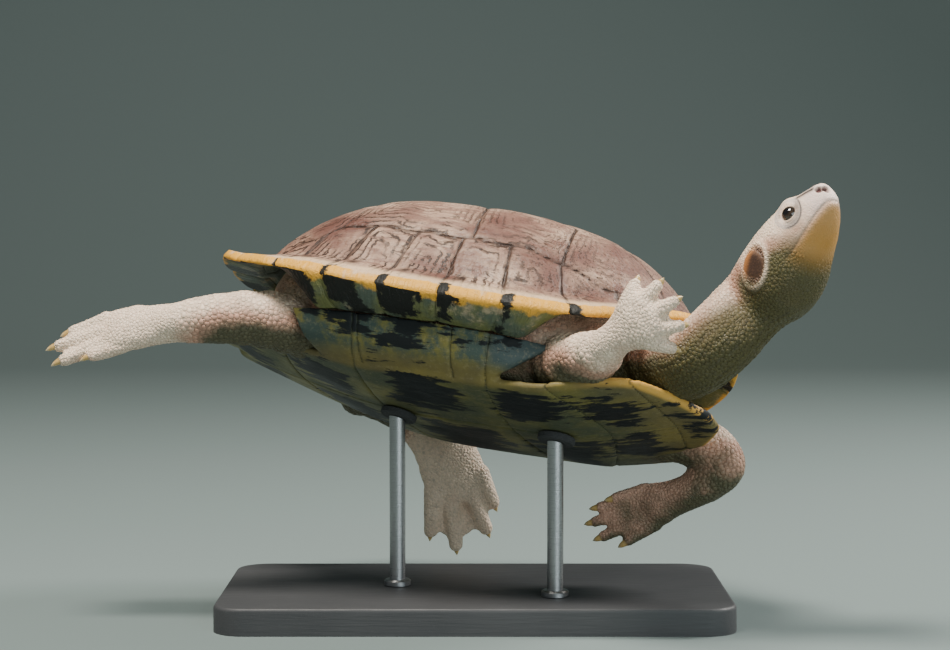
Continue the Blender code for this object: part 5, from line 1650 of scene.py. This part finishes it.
@dataclass
class Skin:
    """One skin over the head, neck, legs, feet, tail and the soft body in the shell."""

    carapace: Carapace
    plastron: Plastron
    head: HeadForm
    voxel: float = 0.94
    hidden: tuple = (62.0, 58.0)
    thinning: float = 0.93
    batch: int = 40000

    def paths(self) -> list[Path]:
        """The middle lines of the neck, legs and tail."""
        ends = [(*self.head.to_turtle((x, 0.0, z)), width, height) for x, z, width, height in NECK_IN_HEAD]
        paths = [Path("neck", (*NECK, *ends), end_axis=self.head.axes()[0])]
        paths += [Path(name, rows, up) for name, (rows, up) in LIMBS.items()]
        return [*paths, Path("tail", TAIL, round_end=True)]

    def body(self) -> Shape:
        """The soft body inside the shell, which shows in its openings."""
        rim, _, _ = self.carapace.rim()
        rim = rim[:: len(rim) // 124]
        front, rear = self.carapace.end_weights(rim[:, 0])
        share = 0.75 + 0.06 * front + 0.03 * rear
        rings = []
        for rho in (0.15, 0.35, 0.55, 0.72):
            z = self.carapace.top_at(rim, rho) - self.carapace.wall - 2.5
            rings.append(np.column_stack([rim * rho, z]))
        for scale, drop in ((0.96, 0.15), (1.0, 0.35), (1.0, 0.6), (0.95, 0.85)):
            rho = share * scale
            high = self.carapace.top(rim, rho) - self.carapace.wall - 2.5
            low = self.floor(rim[:, 0] * rho)
            rings.append(np.column_stack([rim * rho[:, None], high + (low - high) * drop]))
        for rho in (0.66, 0.33):
            rings.append(np.column_stack([rim * rho, self.floor(rim[:, 0] * rho)]))
        top = np.array([0, 0, self.carapace.height - self.carapace.wall - 1.2])
        return loft(rings, top, np.array([0, 0, self.floor(0.0)]))

    def floor(self, x: Array) -> Array:
        """The height of the soft body's underside, just over the plastron."""
        plate = self.plastron
        return plate.level + plate.thickness + 1.4 + plate.smooth_table(plate.rises, x)

    def build(self, material: Material) -> None:
        """Joins the flesh into one skin, gives it folds and dresses it."""
        paths = self.paths()
        whole = self.body().joined(self.head.skull())
        for side in (-1, 1):
            centre = self.head.mirrored(self.head.eye, side)
            whole = whole.joined(self.head.ball(centre, (self.head.lid_radius,) * 3))
        for path in paths:
            whole = whole.joined(path.shape(56, 14))
            if path.name in FEET:
                whole = whole.joined(FEET[path.name].shape(path.stations[-1][3:5]))
        obj = make_union("turtle_skin", whole, self.voxel, 3)
        self.thin_inside(obj)
        self.relax(obj)
        self.refine_face(obj)
        flat = POSE.to_turtle(mesh_points(obj))
        limbs = self.assign(flat, paths)
        self.shape_face(obj)
        folds = self.add_folds(obj, flat, limbs)
        self.paint(obj, flat, limbs, folds)
        nodes = ["trunk", "neck", "head", "lower_jaw", "tail"]
        for name in LIMBS:
            nodes += [name, name.replace("foreleg", "forefoot").replace("hind_leg", "hind_foot")]
        finish_piece(obj, material, nodes)
        self.add_scales(obj, flat, limbs, material)

    def add_scales(self, skin: Piece, flat: Array, limbs: dict[str, Array], material: Material) -> None:
        """Covers the skin with scales: broad on the legs, finer on the neck, finest on the feet and face."""
        limb, left = limbs["limb"], limbs["left"]
        local = self.head.to_head(flat)
        x, y, z = local.T
        on_head = (x > 4.0) & self.head.is_near(flat)
        cheek = on_head & (x < 27.0) & (self.head.drum_share(local) > 1.45)
        toes = (limb > 0) & (limb < 5) & (left < 9.0)
        masks = {
            CoatSize.BROAD: (limb > 0) & ~toes,
            CoatSize.FINE: (limb == 0) & ~on_head,
            CoatSize.FINEST: toes | cheek,
        }
        turn = np.where(limb < 0, np.arctan2(flat[:, 1], flat[:, 0]), limbs["turn"])
        turn = np.where(on_head, np.arctan2(z, y), turn)
        along = np.where(on_head, x + 20.0, limbs["along"])
        column = np.where(on_head, 7, limb + 1)
        across = (column + 0.05 + 0.9 * (turn / (2 * np.pi) % 1.0)) / 8
        bake = np.stack([across, 0.05 + np.clip(along, 0.0, 170.0) / 200, np.zeros(len(flat))], axis=1)
        lie = limbs["lie"] @ POSE.matrix().T
        coat = ScaleCoat()
        for size, mask in masks.items():
            coat.build(skin, size, {"coat": mask, "lie": lie, "bake": bake}, material)
        bpy.data.objects.remove(coat.tile, do_unlink=True)

    def assign(self, flat: Array, paths: list[Path]) -> dict[str, Array]:
        """Finds, for each point, the limb that it belongs to.

        Args:
            flat: Points in the turtle's frame, in millimetres.
            paths: The limbs' middle lines.

        Returns:
            Under limb the limb's index, or -1; under along and left the way along it and what is
            left of it, in millimetres; under turn the turn round it in radians; under lie its
            direction there.
        """
        best = np.full(len(flat), 1.35)
        limb = np.full(len(flat), -1)
        along, turn, left = np.zeros(len(flat)), np.zeros(len(flat)), np.zeros(len(flat))
        lie = np.tile([1.0, 0.0, 0.0], (len(flat), 1))
        for index, path in enumerate(paths):
            rows = path.rows(12)
            frames = path.frames(rows[:, :3], 48)
            lengths = np.concatenate([[0.0], np.cumsum(np.linalg.norm(np.diff(rows[:, :3], axis=0), axis=1))])
            for start in range(0, len(flat), self.batch):
                part = flat[start : start + self.batch]
                gap = part[:, None] - rows[None, :, :3]
                distance = np.linalg.norm(gap, axis=2) / rows[None, :, 3:5].mean(axis=2)
                nearest = distance.argmin(axis=1)
                value = distance[np.arange(len(part)), nearest]
                away = gap[np.arange(len(part)), nearest]
                closer = value < best[start : start + self.batch]
                rise = np.einsum("ij,ij->i", away, frames[nearest, 2])
                wide = np.einsum("ij,ij->i", away, frames[nearest, 1])
                where = np.nonzero(closer)[0] + start
                best[where] = value[closer]
                limb[where] = index
                along[where] = lengths[nearest[closer]]
                left[where] = lengths[-1] - lengths[nearest[closer]]
                turn[where] = np.arctan2(rise, wide)[closer]
                lie[where] = frames[nearest[closer], 0]
            if path.name in FEET:
                foot = FEET[path.name]
                for number, tip in enumerate(foot.tips):
                    root = foot.root(number)
                    share, away = along_run(flat, root, tip)
                    close = (limb < 0) & (away < foot.toe_radius * 3.2)
                    limb[close], along[close] = index, lengths[-1] + 20.0 * share[close]
                    plane = np.array([foot.normal(), unit(tip - root)])
                    turn[close] = np.arctan2(*((flat[close] - foot.palm) @ plane.T).T)
                    lie[close] = unit(tip - root)
        return {"limb": limb, "along": along, "turn": turn, "left": left, "lie": lie}

    def shape_face(self, obj: Piece) -> None:
        """Opens the lids and presses in the mouth line, the nostrils and the eardrums' borders."""
        points = self.head.to_head(POSE.to_turtle(mesh_points(obj)))
        head = self.head
        for side in (-1, 1):
            away, radius, angle = head.gaze(points, side)
            opening = head.eye_opening * (1 - 0.10 * np.abs(away[:, 2]) / head.eye_radius)
            inside = (radius < head.lid_radius * 1.25) & (angle < opening + 10)
            lift = (head.lid_radius - head.lid_inside) * smooth_step(angle, opening - 4, opening + 4)
            target = head.lid_inside + lift
            centre = head.mirrored(head.eye, side)
            points[inside] = centre + away[inside] * (target[inside] / radius[inside])[:, None]
            brow = np.linalg.norm(points - head.mirrored(head.brow, side), axis=1)
            points += self.normals_in_head(obj) * (1.5 * np.exp(-((brow / 3.4) ** 2)))[:, None]
        line = head.mouth_line(points[:, 0])
        groove = bell(points[:, 2], line, 0.5) * smooth_step(points[:, 0], 21.0, 25.0)
        normals = self.normals_in_head(obj)
        points -= normals * (groove * 0.22)[:, None]
        points -= normals * (self.nostril_mask(points) * 1.6)[:, None]
        border = bell(head.drum_share(points), 1.18, 0.13) * smooth_step(np.abs(points[:, 1]), 6.0, 9.0)
        points += normals * (0.8 * border)[:, None]
        set_points(obj, POSE.to_model(head.to_turtle(points)))

    def nostril_mask(self, points: Array) -> Array:
        """1 in the middle of a nostril, falling to 0 round it."""
        radius, mask = self.head.nostril_radius, np.zeros(len(points))
        for place in self.head.nostrils:
            away = np.linalg.norm(points - np.array(place), axis=1)
            mask = np.maximum(mask, 1 - smooth_step(away, 0.7 * radius, 1.45 * radius))
        return mask

    def thin_inside(self, obj: Piece) -> None:
        """Leaves few faces on the part of the skin that the closed shell hides."""
        flat = POSE.to_turtle(mesh_points(obj))
        inside = np.hypot(flat[:, 0] / self.hidden[0], flat[:, 1] / self.hidden[1]) < 1
        inside &= flat[:, 2] > self.floor(flat[:, 0]) - 1.0
        group = obj.vertex_groups.new(name="inside")
        group.add(np.flatnonzero(inside).tolist(), 1.0, "REPLACE")
        thin = obj.modifiers.new("thin", "DECIMATE")
        thin.vertex_group = group.name
        thin.ratio = 1 - self.thinning * float(np.mean(inside))
        apply_modifiers(obj)
        obj.vertex_groups.clear()
        obj.data.shade_smooth()

    def refine_face(self, obj: Piece) -> None:
        """Divides the faces before the ears more finely, for the lids, nostrils and creases."""
        flat = POSE.to_turtle(mesh_points(obj))
        inside = (self.head.to_head(flat)[:, 0] > 23.0) & self.head.is_near(flat)
        work = bmesh.new()
        work.from_mesh(obj.data)
        work.verts.ensure_lookup_table()
        edges = [edge for edge in work.edges if inside[edge.verts[0].index] and inside[edge.verts[1].index]]
        bmesh.ops.subdivide_edges(work, edges=edges, cuts=2, use_grid_fill=True)
        work.to_mesh(obj.data)
        work.free()
        obj.data.shade_smooth()

    def relax(self, obj: Piece) -> None:
        """Softens the throat and the ankles, where one form meets the next."""
        points = mesh_points(obj)
        flat = POSE.to_turtle(points)
        away = np.linalg.norm(self.head.to_head(flat) - np.array(self.head.throat), axis=1)
        weight = 1 - smooth_step(away, 9.0, 21.0)
        for foot in FEET.values():
            away = np.linalg.norm(flat - foot.ankle, axis=1)
            weight = np.maximum(weight, 1 - smooth_step(away, 7.0, 13.0))
        for _ in range(10):
            even = np.stack([self.spread(obj, column, 5) for column in points.T], axis=1)
            points = points + weight[:, None] * (even - points)
        set_points(obj, points)

    def spread(self, obj: Piece, values: Array, rounds: int) -> Array:
        """Evens out a number over the mesh, so that it never changes in one step."""
        edges = np.zeros(len(obj.data.edges) * 2, dtype=np.int32)
        obj.data.edges.foreach_get("vertices", edges)
        first, second = edges.reshape(-1, 2).T
        count = len(values)
        degree = np.bincount(first, minlength=count) + np.bincount(second, minlength=count) + 1.0
        for _ in range(rounds):
            total = np.bincount(first, values[second], count) + np.bincount(second, values[first], count)
            values = (values + total) / degree
        return values

    def normals_in_head(self, obj: Piece) -> Array:
        """The outward directions in the head's frame."""
        return mesh_normals(obj) @ POSE.matrix() @ self.head.axes().T

    def add_folds(self, obj: Piece, flat: Array, limbs: dict[str, Array]) -> Array:
        """Raises lengthwise wrinkles on the neck and cross folds where limbs bend and leave the shell.

        Returns:
            How far each point was raised, in millimetres.
        """
        turn, along, limb = limbs["turn"], limbs["along"], limbs["limb"]
        wander = noise(flat, 16.0, 3, 2)
        fine = noise(flat, 2.6, 8, 2)
        lengthwise = np.abs(np.sin(turn * 13 + wander * 2.2)) - 0.6
        cross = np.sin(along / 1.35 + wander * 2.6)
        neck = limb == 0
        fold = np.zeros(len(flat))
        fold += np.where(neck, 0.85 * lengthwise + 0.35 * cross * (1 - smooth_step(along, 25.0, 60.0)), 0.0)
        legs = (limb > 0) & (limb < 5)
        fold += np.where(legs, 0.42 * cross * (1 - smooth_step(along, 30.0, 62.0)) + 0.12 * lengthwise, 0.0)
        fold += np.where(limb < 0, 0.5 * np.sin(flat[:, 1] / 1.5 + wander * 3), 0.0)
        head = smooth_step(self.head.to_head(flat)[:, 0], -4.0, 8.0) * (neck | (limb < 0))
        fold = self.spread(obj, fold * (1 - head), 2) + 0.12 * fine
        set_points(obj, mesh_points(obj) + mesh_normals(obj) * fold[:, None] * MM)
        return fold

    def paint(self, obj: Piece, flat: Array, limbs: dict[str, Array], folds: Array) -> None:
        """Keeps the masks that the skin's material reads."""
        head = self.head
        local = head.to_head(flat)
        x, y, z = local.T
        on_head = smooth_step(x, 4.0, 12.0) * head.is_near(flat)
        pale, olive = self.tones(mesh_normals(obj)[:, 2], local, limbs, on_head)
        line = head.mouth_line(x)
        jaw = smooth_step(x, 20.0, 33.0) * smooth_step(line - z, -1.3, 2.2)
        ear = head.drum_share(local)
        beside = on_head * smooth_step(np.abs(y), 6.0, 9.0)
        upper = smooth_step(z - head.ear[2] - 0.5 * (x - head.ear[0]), 0.5, 4.5)
        bare = (1 - smooth_step(ear, 0.92, 1.06)) * beside
        lid, crease = self.round_eyes(local)
        # Painted shade along the mouth's groove.
        groove = bell(z, line, 0.35) * smooth_step(x, 21.0, 25.0) * on_head
        crease = np.maximum(crease, groove * 0.3)
        # Painted shade in the grooves between the neck's ridges and in the hollows of the folds.
        ridge = np.abs(np.sin(limbs["turn"] * 13 + noise(flat, 16.0, 3, 2) * 2.2))
        lengthwise = (limbs["limb"] == 0) * (1 - on_head) * (1 - smooth_step(ridge, 0.0, 0.42)) * 0.4
        crease = np.maximum(np.maximum(crease, lengthwise), smooth_step(-folds, 0.18, 0.6) * 0.45)
        store(
            obj,
            pale=self.spread(obj, pale, 14),
            olive=self.spread(obj, olive, 10),
            beak=jaw * 0.85 * on_head,
            snout=smooth_step(x, 34.0, 44.0) * on_head * 0.8,
            bare=bare * (1 - 0.9 * upper),
            ring=(1 - smooth_step(ear, 0.95, 1.25)) * beside * upper * 0.9,
            bright=bell(ear, 1.2, 0.13) * beside * 0.85,
            lid=lid,
            crease=np.clip(crease, 0, 1),
            nostril=np.clip(self.nostril_mask(local) * 1.2, 0, 1),
            scaly=1 - 0.75 * on_head * smooth_step(x, 16.0, 30.0),
            place=flat * MM,
        )

    def tones(
        self, upright: Array, local: Array, limbs: dict[str, Array], on_head: Array
    ) -> tuple[Array, Array]:
        """How pale and how olive the skin is before both are spread; the paleness is painted light and shade,
        and the olive is partly painted shade.

        Args:
            upright: How far each point's normal looks up.
            local: The points in the head's frame.
            limbs: What `assign` gave for the points.
            on_head: 1 for points of the head, less towards the neck.
        """
        x, _, z = local.T
        limb, left = limbs["limb"], limbs["left"]
        # Painted light and shade: the skin is paler where it faces up.
        pale = np.where(limb == 0, 0.30 + 0.68 * upright, 0.46 + 0.56 * upright)
        # Painted light: the feet are made pale all over.
        feet = (limb > 0) * (1 - smooth_step(left, 4.0, 24.0))
        pale = pale + feet * (1.0 + 0.15 * upright - pale)
        # Painted shade: the end of the left foreleg is made darker.
        shaded_forearm = (limb == 2) * (1 - smooth_step(left, 20.0, 30.0))
        pale = pale + shaded_forearm * (0.34 + 0.3 * upright - pale)
        # Painted light: the head is paler towards its top.
        pale = pale * (1 - on_head) + on_head * (0.66 + 0.3 * smooth_step(z, -8.0, 8.0))
        # Painted shade: the lower back of the head is made darker.
        cheek = smooth_step(-z, -5.0, 5.0) * (1 - smooth_step(x, 21.0, 31.0))
        # Olive under the throat and lower jaw, partly their own olive and partly painted shade; painted shade
        # also turns the neck olive wherever it faces down.
        throat = smooth_step(-z, -2.0, 7.0) * np.where(limb == 0, 1.0, on_head)
        throat *= 1 - smooth_step(x, 24.0, 37.0)
        throat = np.maximum(throat, (limb == 0) * smooth_step(-upright, -0.15, 0.6) * 0.8)
        return pale - 0.42 * cheek * on_head, np.clip(throat * 0.95, 0, 1)

    def round_eyes(self, local: Array) -> tuple[Array, Array]:
        """Masks of the lids, and of painted shade in the creases under the eyes, in a broader dusky band
        below them and along the edge of the snout in front of them.
        """
        head = self.head
        lid, crease = np.zeros(len(local)), np.zeros(len(local))
        for side in (-1, 1):
            away, radius, angle = head.gaze(local, side)
            near = radius < head.lid_radius * 1.6
            lid = np.maximum(lid, near * bell(angle, head.eye_opening + 12.0, 13.0))
            under = smooth_step(0.7 * away[:, 0] - away[:, 2], 0.0, 3.5)
            # Painted shade under and before each eye: a thin crease and a broader dusky band.
            crease = np.maximum(crease, bell(radius, 5.7, 0.32) * under * 0.85)
            crease = np.maximum(crease, bell(radius, 4.7, 1.0) * under * 0.42)
            # Painted shade along the edge of the snout in front of the eye.
            _, gap = along_run(local, *(head.mirrored(place, side) for place in head.canthus))
            crease = np.maximum(crease, bell(gap, 0.0, 1.1))
        return np.clip(lid * 0.8, 0, 1), crease


@dataclass
class Face:
    """The eyes and the eardrums."""

    head: HeadForm

    def build_eye(self, side: int, name: str, material: Material) -> None:
        """One eyeball, whose material reads the angle from where the eye looks."""
        head = self.head
        shape = head.ball(head.mirrored(head.eye, side), (head.eye_radius,) * 3, 56)
        obj = make_mesh(f"{name}_ball", shape)
        _, _, angle = head.gaze(head.to_head(shape.points), side)
        store(obj, from_axis=np.radians(angle), place=shape.points * MM)
        finish_piece(obj, material, [name])

    def build_ear(self, side: int, name: str, material: Material) -> None:
        """One eardrum, a little hollow in the middle."""
        head = self.head
        centre = head.mirrored(head.ear, side)
        shape = head.ball(centre, head.ear_radii, 56)
        local = head.to_head(shape.points) - centre
        x, _, z = local.T
        away = np.hypot(x / head.ear_radii[0], z / head.ear_radii[2])
        local[:, 1] -= side * 0.45 * bell(away, 0.0, 0.6)
        obj = make_mesh(f"{name}_drum", Shape(head.to_turtle(centre + local), shape.quads, shape.triangles))
        upper = smooth_step(z - 0.5 * x, 1.2, 4.8)
        store(obj, from_middle=away, upper=upper, place=shape.points * MM)
        finish_piece(obj, material, [name])


def build_claws(name: str, foot: FootForm, material: Material) -> None:
    """The claws of one foot as one piece, which stands for all its claw nodes.

    Args:
        name: The leg that the foot is on.
        foot: The foot's sizes.
        material: The claws' horn.
    """
    short = name.replace("foreleg", "fore").replace("hind_leg", "hind")
    claws = [foot.claw(index) for index in range(len(foot.tips))]
    whole = claws[0][0]
    for shape, _ in claws[1:]:
        whole = whole.joined(shape)
    obj = make_mesh(f"claws_{short}", whole)
    store(obj, along=np.concatenate([along for _, along in claws]), place=whole.points * MM)
    finish_piece(obj, material, [f"claw_{short}_{index + 1}" for index in range(len(claws))])


# ---------------------------------------------------------------------------------------------
# Stand and studio


@dataclass
class Stand:
    """A flat base with two rods and a pad on each, in the model's frame."""

    plastron: Plastron
    length: float = 190.0
    width: float = 104.0
    thickness: float = 10.0
    corner: float = 12.0
    edge: float = 1.5
    rod_radius: float = 3.0
    pad_radius: float = 7.0
    pad_thickness: float = 2.5
    gap: float = 0.3
    sharp_angle: float = 28.0
    collar: tuple = ((0.0, 1.7), (1.6, 1.7), (2.2, 1.5), (2.4, 1.0))
    stations: tuple = (("front", 40.0), ("rear", -24.0))

    def build_base(self, material: Material) -> None:
        """The board, with round corners and a soft upper edge."""
        quarter = np.linspace(0, np.pi / 2, 13)
        outline = []
        for index, (sx, sy) in enumerate(((1, 1), (-1, 1), (-1, -1), (1, -1))):
            for turn in quarter + index * np.pi / 2:
                outline.append((
                    sx * (self.length / 2 - self.corner) + self.corner * math.cos(turn),
                    sy * (self.width / 2 - self.corner) + self.corner * math.sin(turn),
                ))
        outline = np.array(outline)
        toward = outline / np.linalg.norm(outline, axis=1)[:, None]
        rings = [np.column_stack([outline, np.zeros(len(outline))])]
        for turn in np.linspace(0, np.pi / 2, 6):
            inset = self.edge * (1 - math.cos(turn))
            z = self.thickness - self.edge * (1 - math.sin(turn))
            rings.append(np.column_stack([outline - toward * inset, np.full(len(outline), z)]))
        shape = loft(rings, np.zeros(3), np.array([0.0, 0.0, self.thickness]))
        self.add("stand_board", shape, material, "stand_base", "stand_base")

    def add(self, name: str, shape: Shape, material: Material, slot: str, node: str) -> None:
        """Adds one piece that keeps its flat faces flat beside the curved ones."""
        obj = make_mesh(name, shape, place=False)
        obj.data.set_sharp_from_angle(angle=math.radians(self.sharp_angle))
        finish_piece(obj, material, [node])

    def build_rods(self, steel: Material, felt: Material) -> None:
        """Both rods with their collars and pads."""
        turns = turns_round(48)
        cosine, sine = np.cos(turns)[:, None], np.sin(turns)[:, None]
        level = cosine * [1.0, 0.0, 0.0] + sine * [0.0, 1.0, 0.0]
        top, floor = self.gap + self.pad_thickness, self.thickness + self.gap
        for name, station in self.stations:
            before, touch, after = (
                self.plastron.surface(np.array(station + step), np.array(0.0)) for step in (-5.0, 0.0, 5.0)
            )
            touch = POSE.to_model(touch) / MM
            normal = POSE.matrix() @ unit(np.cross([0.0, 1.0, 0.0], after - before))
            normal = normal * (-1 if normal[2] > 0 else 1)
            across = unit(np.cross(normal, [1.0, 0.0, 0.0]))
            circle = cosine * across + sine * np.cross(normal, across)
            depths = ((self.gap, 0.96), (self.gap + 0.25, 1.0), (top - 0.5, 1.0), (top, 0.92))
            rings = [touch + normal * depth + circle * self.pad_radius * share for depth, share in depths]
            pad = loft(rings, touch + normal * self.gap, touch + normal * top)
            self.add(f"stand_pad_{name}_felt", pad, felt, "stand_metal", f"stand_pad_{name}")
            under = touch + normal * (self.gap + top)
            foot = np.array([under[0], under[1], floor])
            rings = [
                foot + [0.0, 0.0, rise] + level * self.rod_radius * share for rise, share in self.collar
            ]
            tip = foot + level * self.rod_radius
            tip[:, 2] = under[2] - (tip - under)[:, :2] @ normal[:2] / normal[2]
            rod = loft([*rings, tip], foot, under)
            self.add(f"stand_rod_{name}_steel", rod, steel, "stand_metal", f"stand_rod_{name}")


@dataclass
class Studio:
    """The camera, the pale floor with its backdrop, and soft lights."""

    distance: float = 0.85
    elevation: float = 3.0
    target: tuple = (0.0, 0.0005, 0.1091)
    lens: float = 85.0
    lights: tuple = (
        ("key", (-0.28, -0.34, 1.25), (0.0, 0.0, 0.10), 0.36, 33.0, (1.0, 0.945, 0.86)),
        ("fill", (0.55, -1.05, 0.30), (0.0, 0.0, 0.08), 0.9, 7.5, (0.84, 0.97, 1.0)),
        ("rim", (0.85, 0.30, 0.75), (0.02, 0.0, 0.10), 0.4, 15.0, (1.0, 0.97, 0.92)),
    )
    sky: Colour = (0.66, 0.80, 0.82)
    sky_strength: float = 0.20
    floor_front: float = -3.0
    floor_back: float = 1.3
    floor_bend: float = 0.8
    floor_top: float = 3.5
    floor_half_width: float = 4.0
    paper: tuple = ((0.135, 0.175, 0.17), (0.155, 0.195, 0.19))

    def build(self) -> None:
        """Adds all of it to the scene."""
        self.add_camera()
        self.add_floor()
        for light in self.lights:
            self.add_light(*light)
        world = bpy.data.worlds.new("studio")
        world.use_nodes = True
        Kit(world.node_tree).feed(
            world.node_tree.nodes["Background"], Color=self.sky, Strength=self.sky_strength
        )
        bpy.context.scene.world = world

    def add_camera(self) -> None:
        """The camera, a little above the turtle's middle and square to the stand."""
        tilt = math.radians(self.elevation)
        camera = add_object("camera", bpy.data.cameras.new("camera"))
        camera.data.lens = self.lens
        camera.data.sensor_width = 36.0
        camera.data.clip_start = 0.01
        x, y, z = self.target
        camera.location = (x, y - self.distance * math.cos(tilt), z + self.distance * math.sin(tilt))
        camera.rotation_euler = (math.radians(90 - self.elevation), 0.0, 0.0)
        bpy.context.scene.camera = camera

    def add_floor(self) -> None:
        """A pale floor that curves up into a backdrop."""
        back, bend = self.floor_back, self.floor_bend
        profile = [(self.floor_front, 0.0), (back, 0.0)]
        for turn in np.linspace(0, np.pi / 2, 15)[1:]:
            profile.append((back + bend * math.sin(turn), bend - bend * math.cos(turn)))
        profile.append((back + bend, self.floor_top))
        mesh = bpy.data.meshes.new("floor")
        points = [(x, y, z) for y, z in profile for x in (-self.floor_half_width, self.floor_half_width)]
        faces = [(2 * i, 2 * i + 1, 2 * i + 3, 2 * i + 2) for i in range(len(profile) - 1)]
        mesh.from_pydata(points, [], faces)
        mesh.shade_smooth()
        floor = add_object("floor", mesh)
        finish = Finish("floor_paper", 0.85)
        kit = finish.kit
        grain = kit.noise(kit.object_place(), 900.0, 3.0)
        finish.colour(kit.mix(grain, *self.paper))
        mesh.materials.append(finish.material)

    def add_light(
        self, name: str, place: tuple, aim: tuple, size: float, power: float, colour: Colour
    ) -> None:
        """One soft square light that points at a place."""
        light = add_object(name, bpy.data.lights.new(name, "AREA"))
        light.data.shape = "SQUARE"
        light.data.size = size
        light.data.energy = power
        light.data.color = colour
        light.location = place
        toward = np.array(aim) - np.array(place)
        light.rotation_euler = Matrix(self.looking(toward)).to_euler()

    def looking(self, toward: Array) -> list:
        """The turn that points an object's -z along a direction."""
        back = -unit(toward)
        side = unit(np.cross([0.0, 1.0, 0.001], back))
        return np.column_stack([side, np.cross(back, side), back]).tolist()


def main() -> None:
    """Builds every piece in order."""
    groups = Groups()
    form = ShellForm()
    carapace, plastron, head = Carapace(form), Plastron(form), HeadForm()
    Studio().build()
    carapace.build(ShellFinish().build(groups))
    plastron.build(PlastronFinish().build(groups))
    Skin(carapace, plastron, head).build(SkinFinish().build(groups))
    face = Face(head)
    eye, ear = EyeFinish().build(), EarFinish().build(groups)
    for side, name in ((-1, "right"), (1, "left")):
        face.build_eye(side, f"eye_{name}", eye)
        face.build_ear(side, f"ear_{name}", ear)
    claw = ClawFinish().build()
    for name, foot in FEET.items():
        build_claws(name, foot, claw)
    stand, finish = Stand(plastron), StandFinish()
    stand.build_base(finish.build_board(groups))
    stand.build_rods(finish.build_steel(), finish.build_pad())


if __name__ == "__main__":
    main()
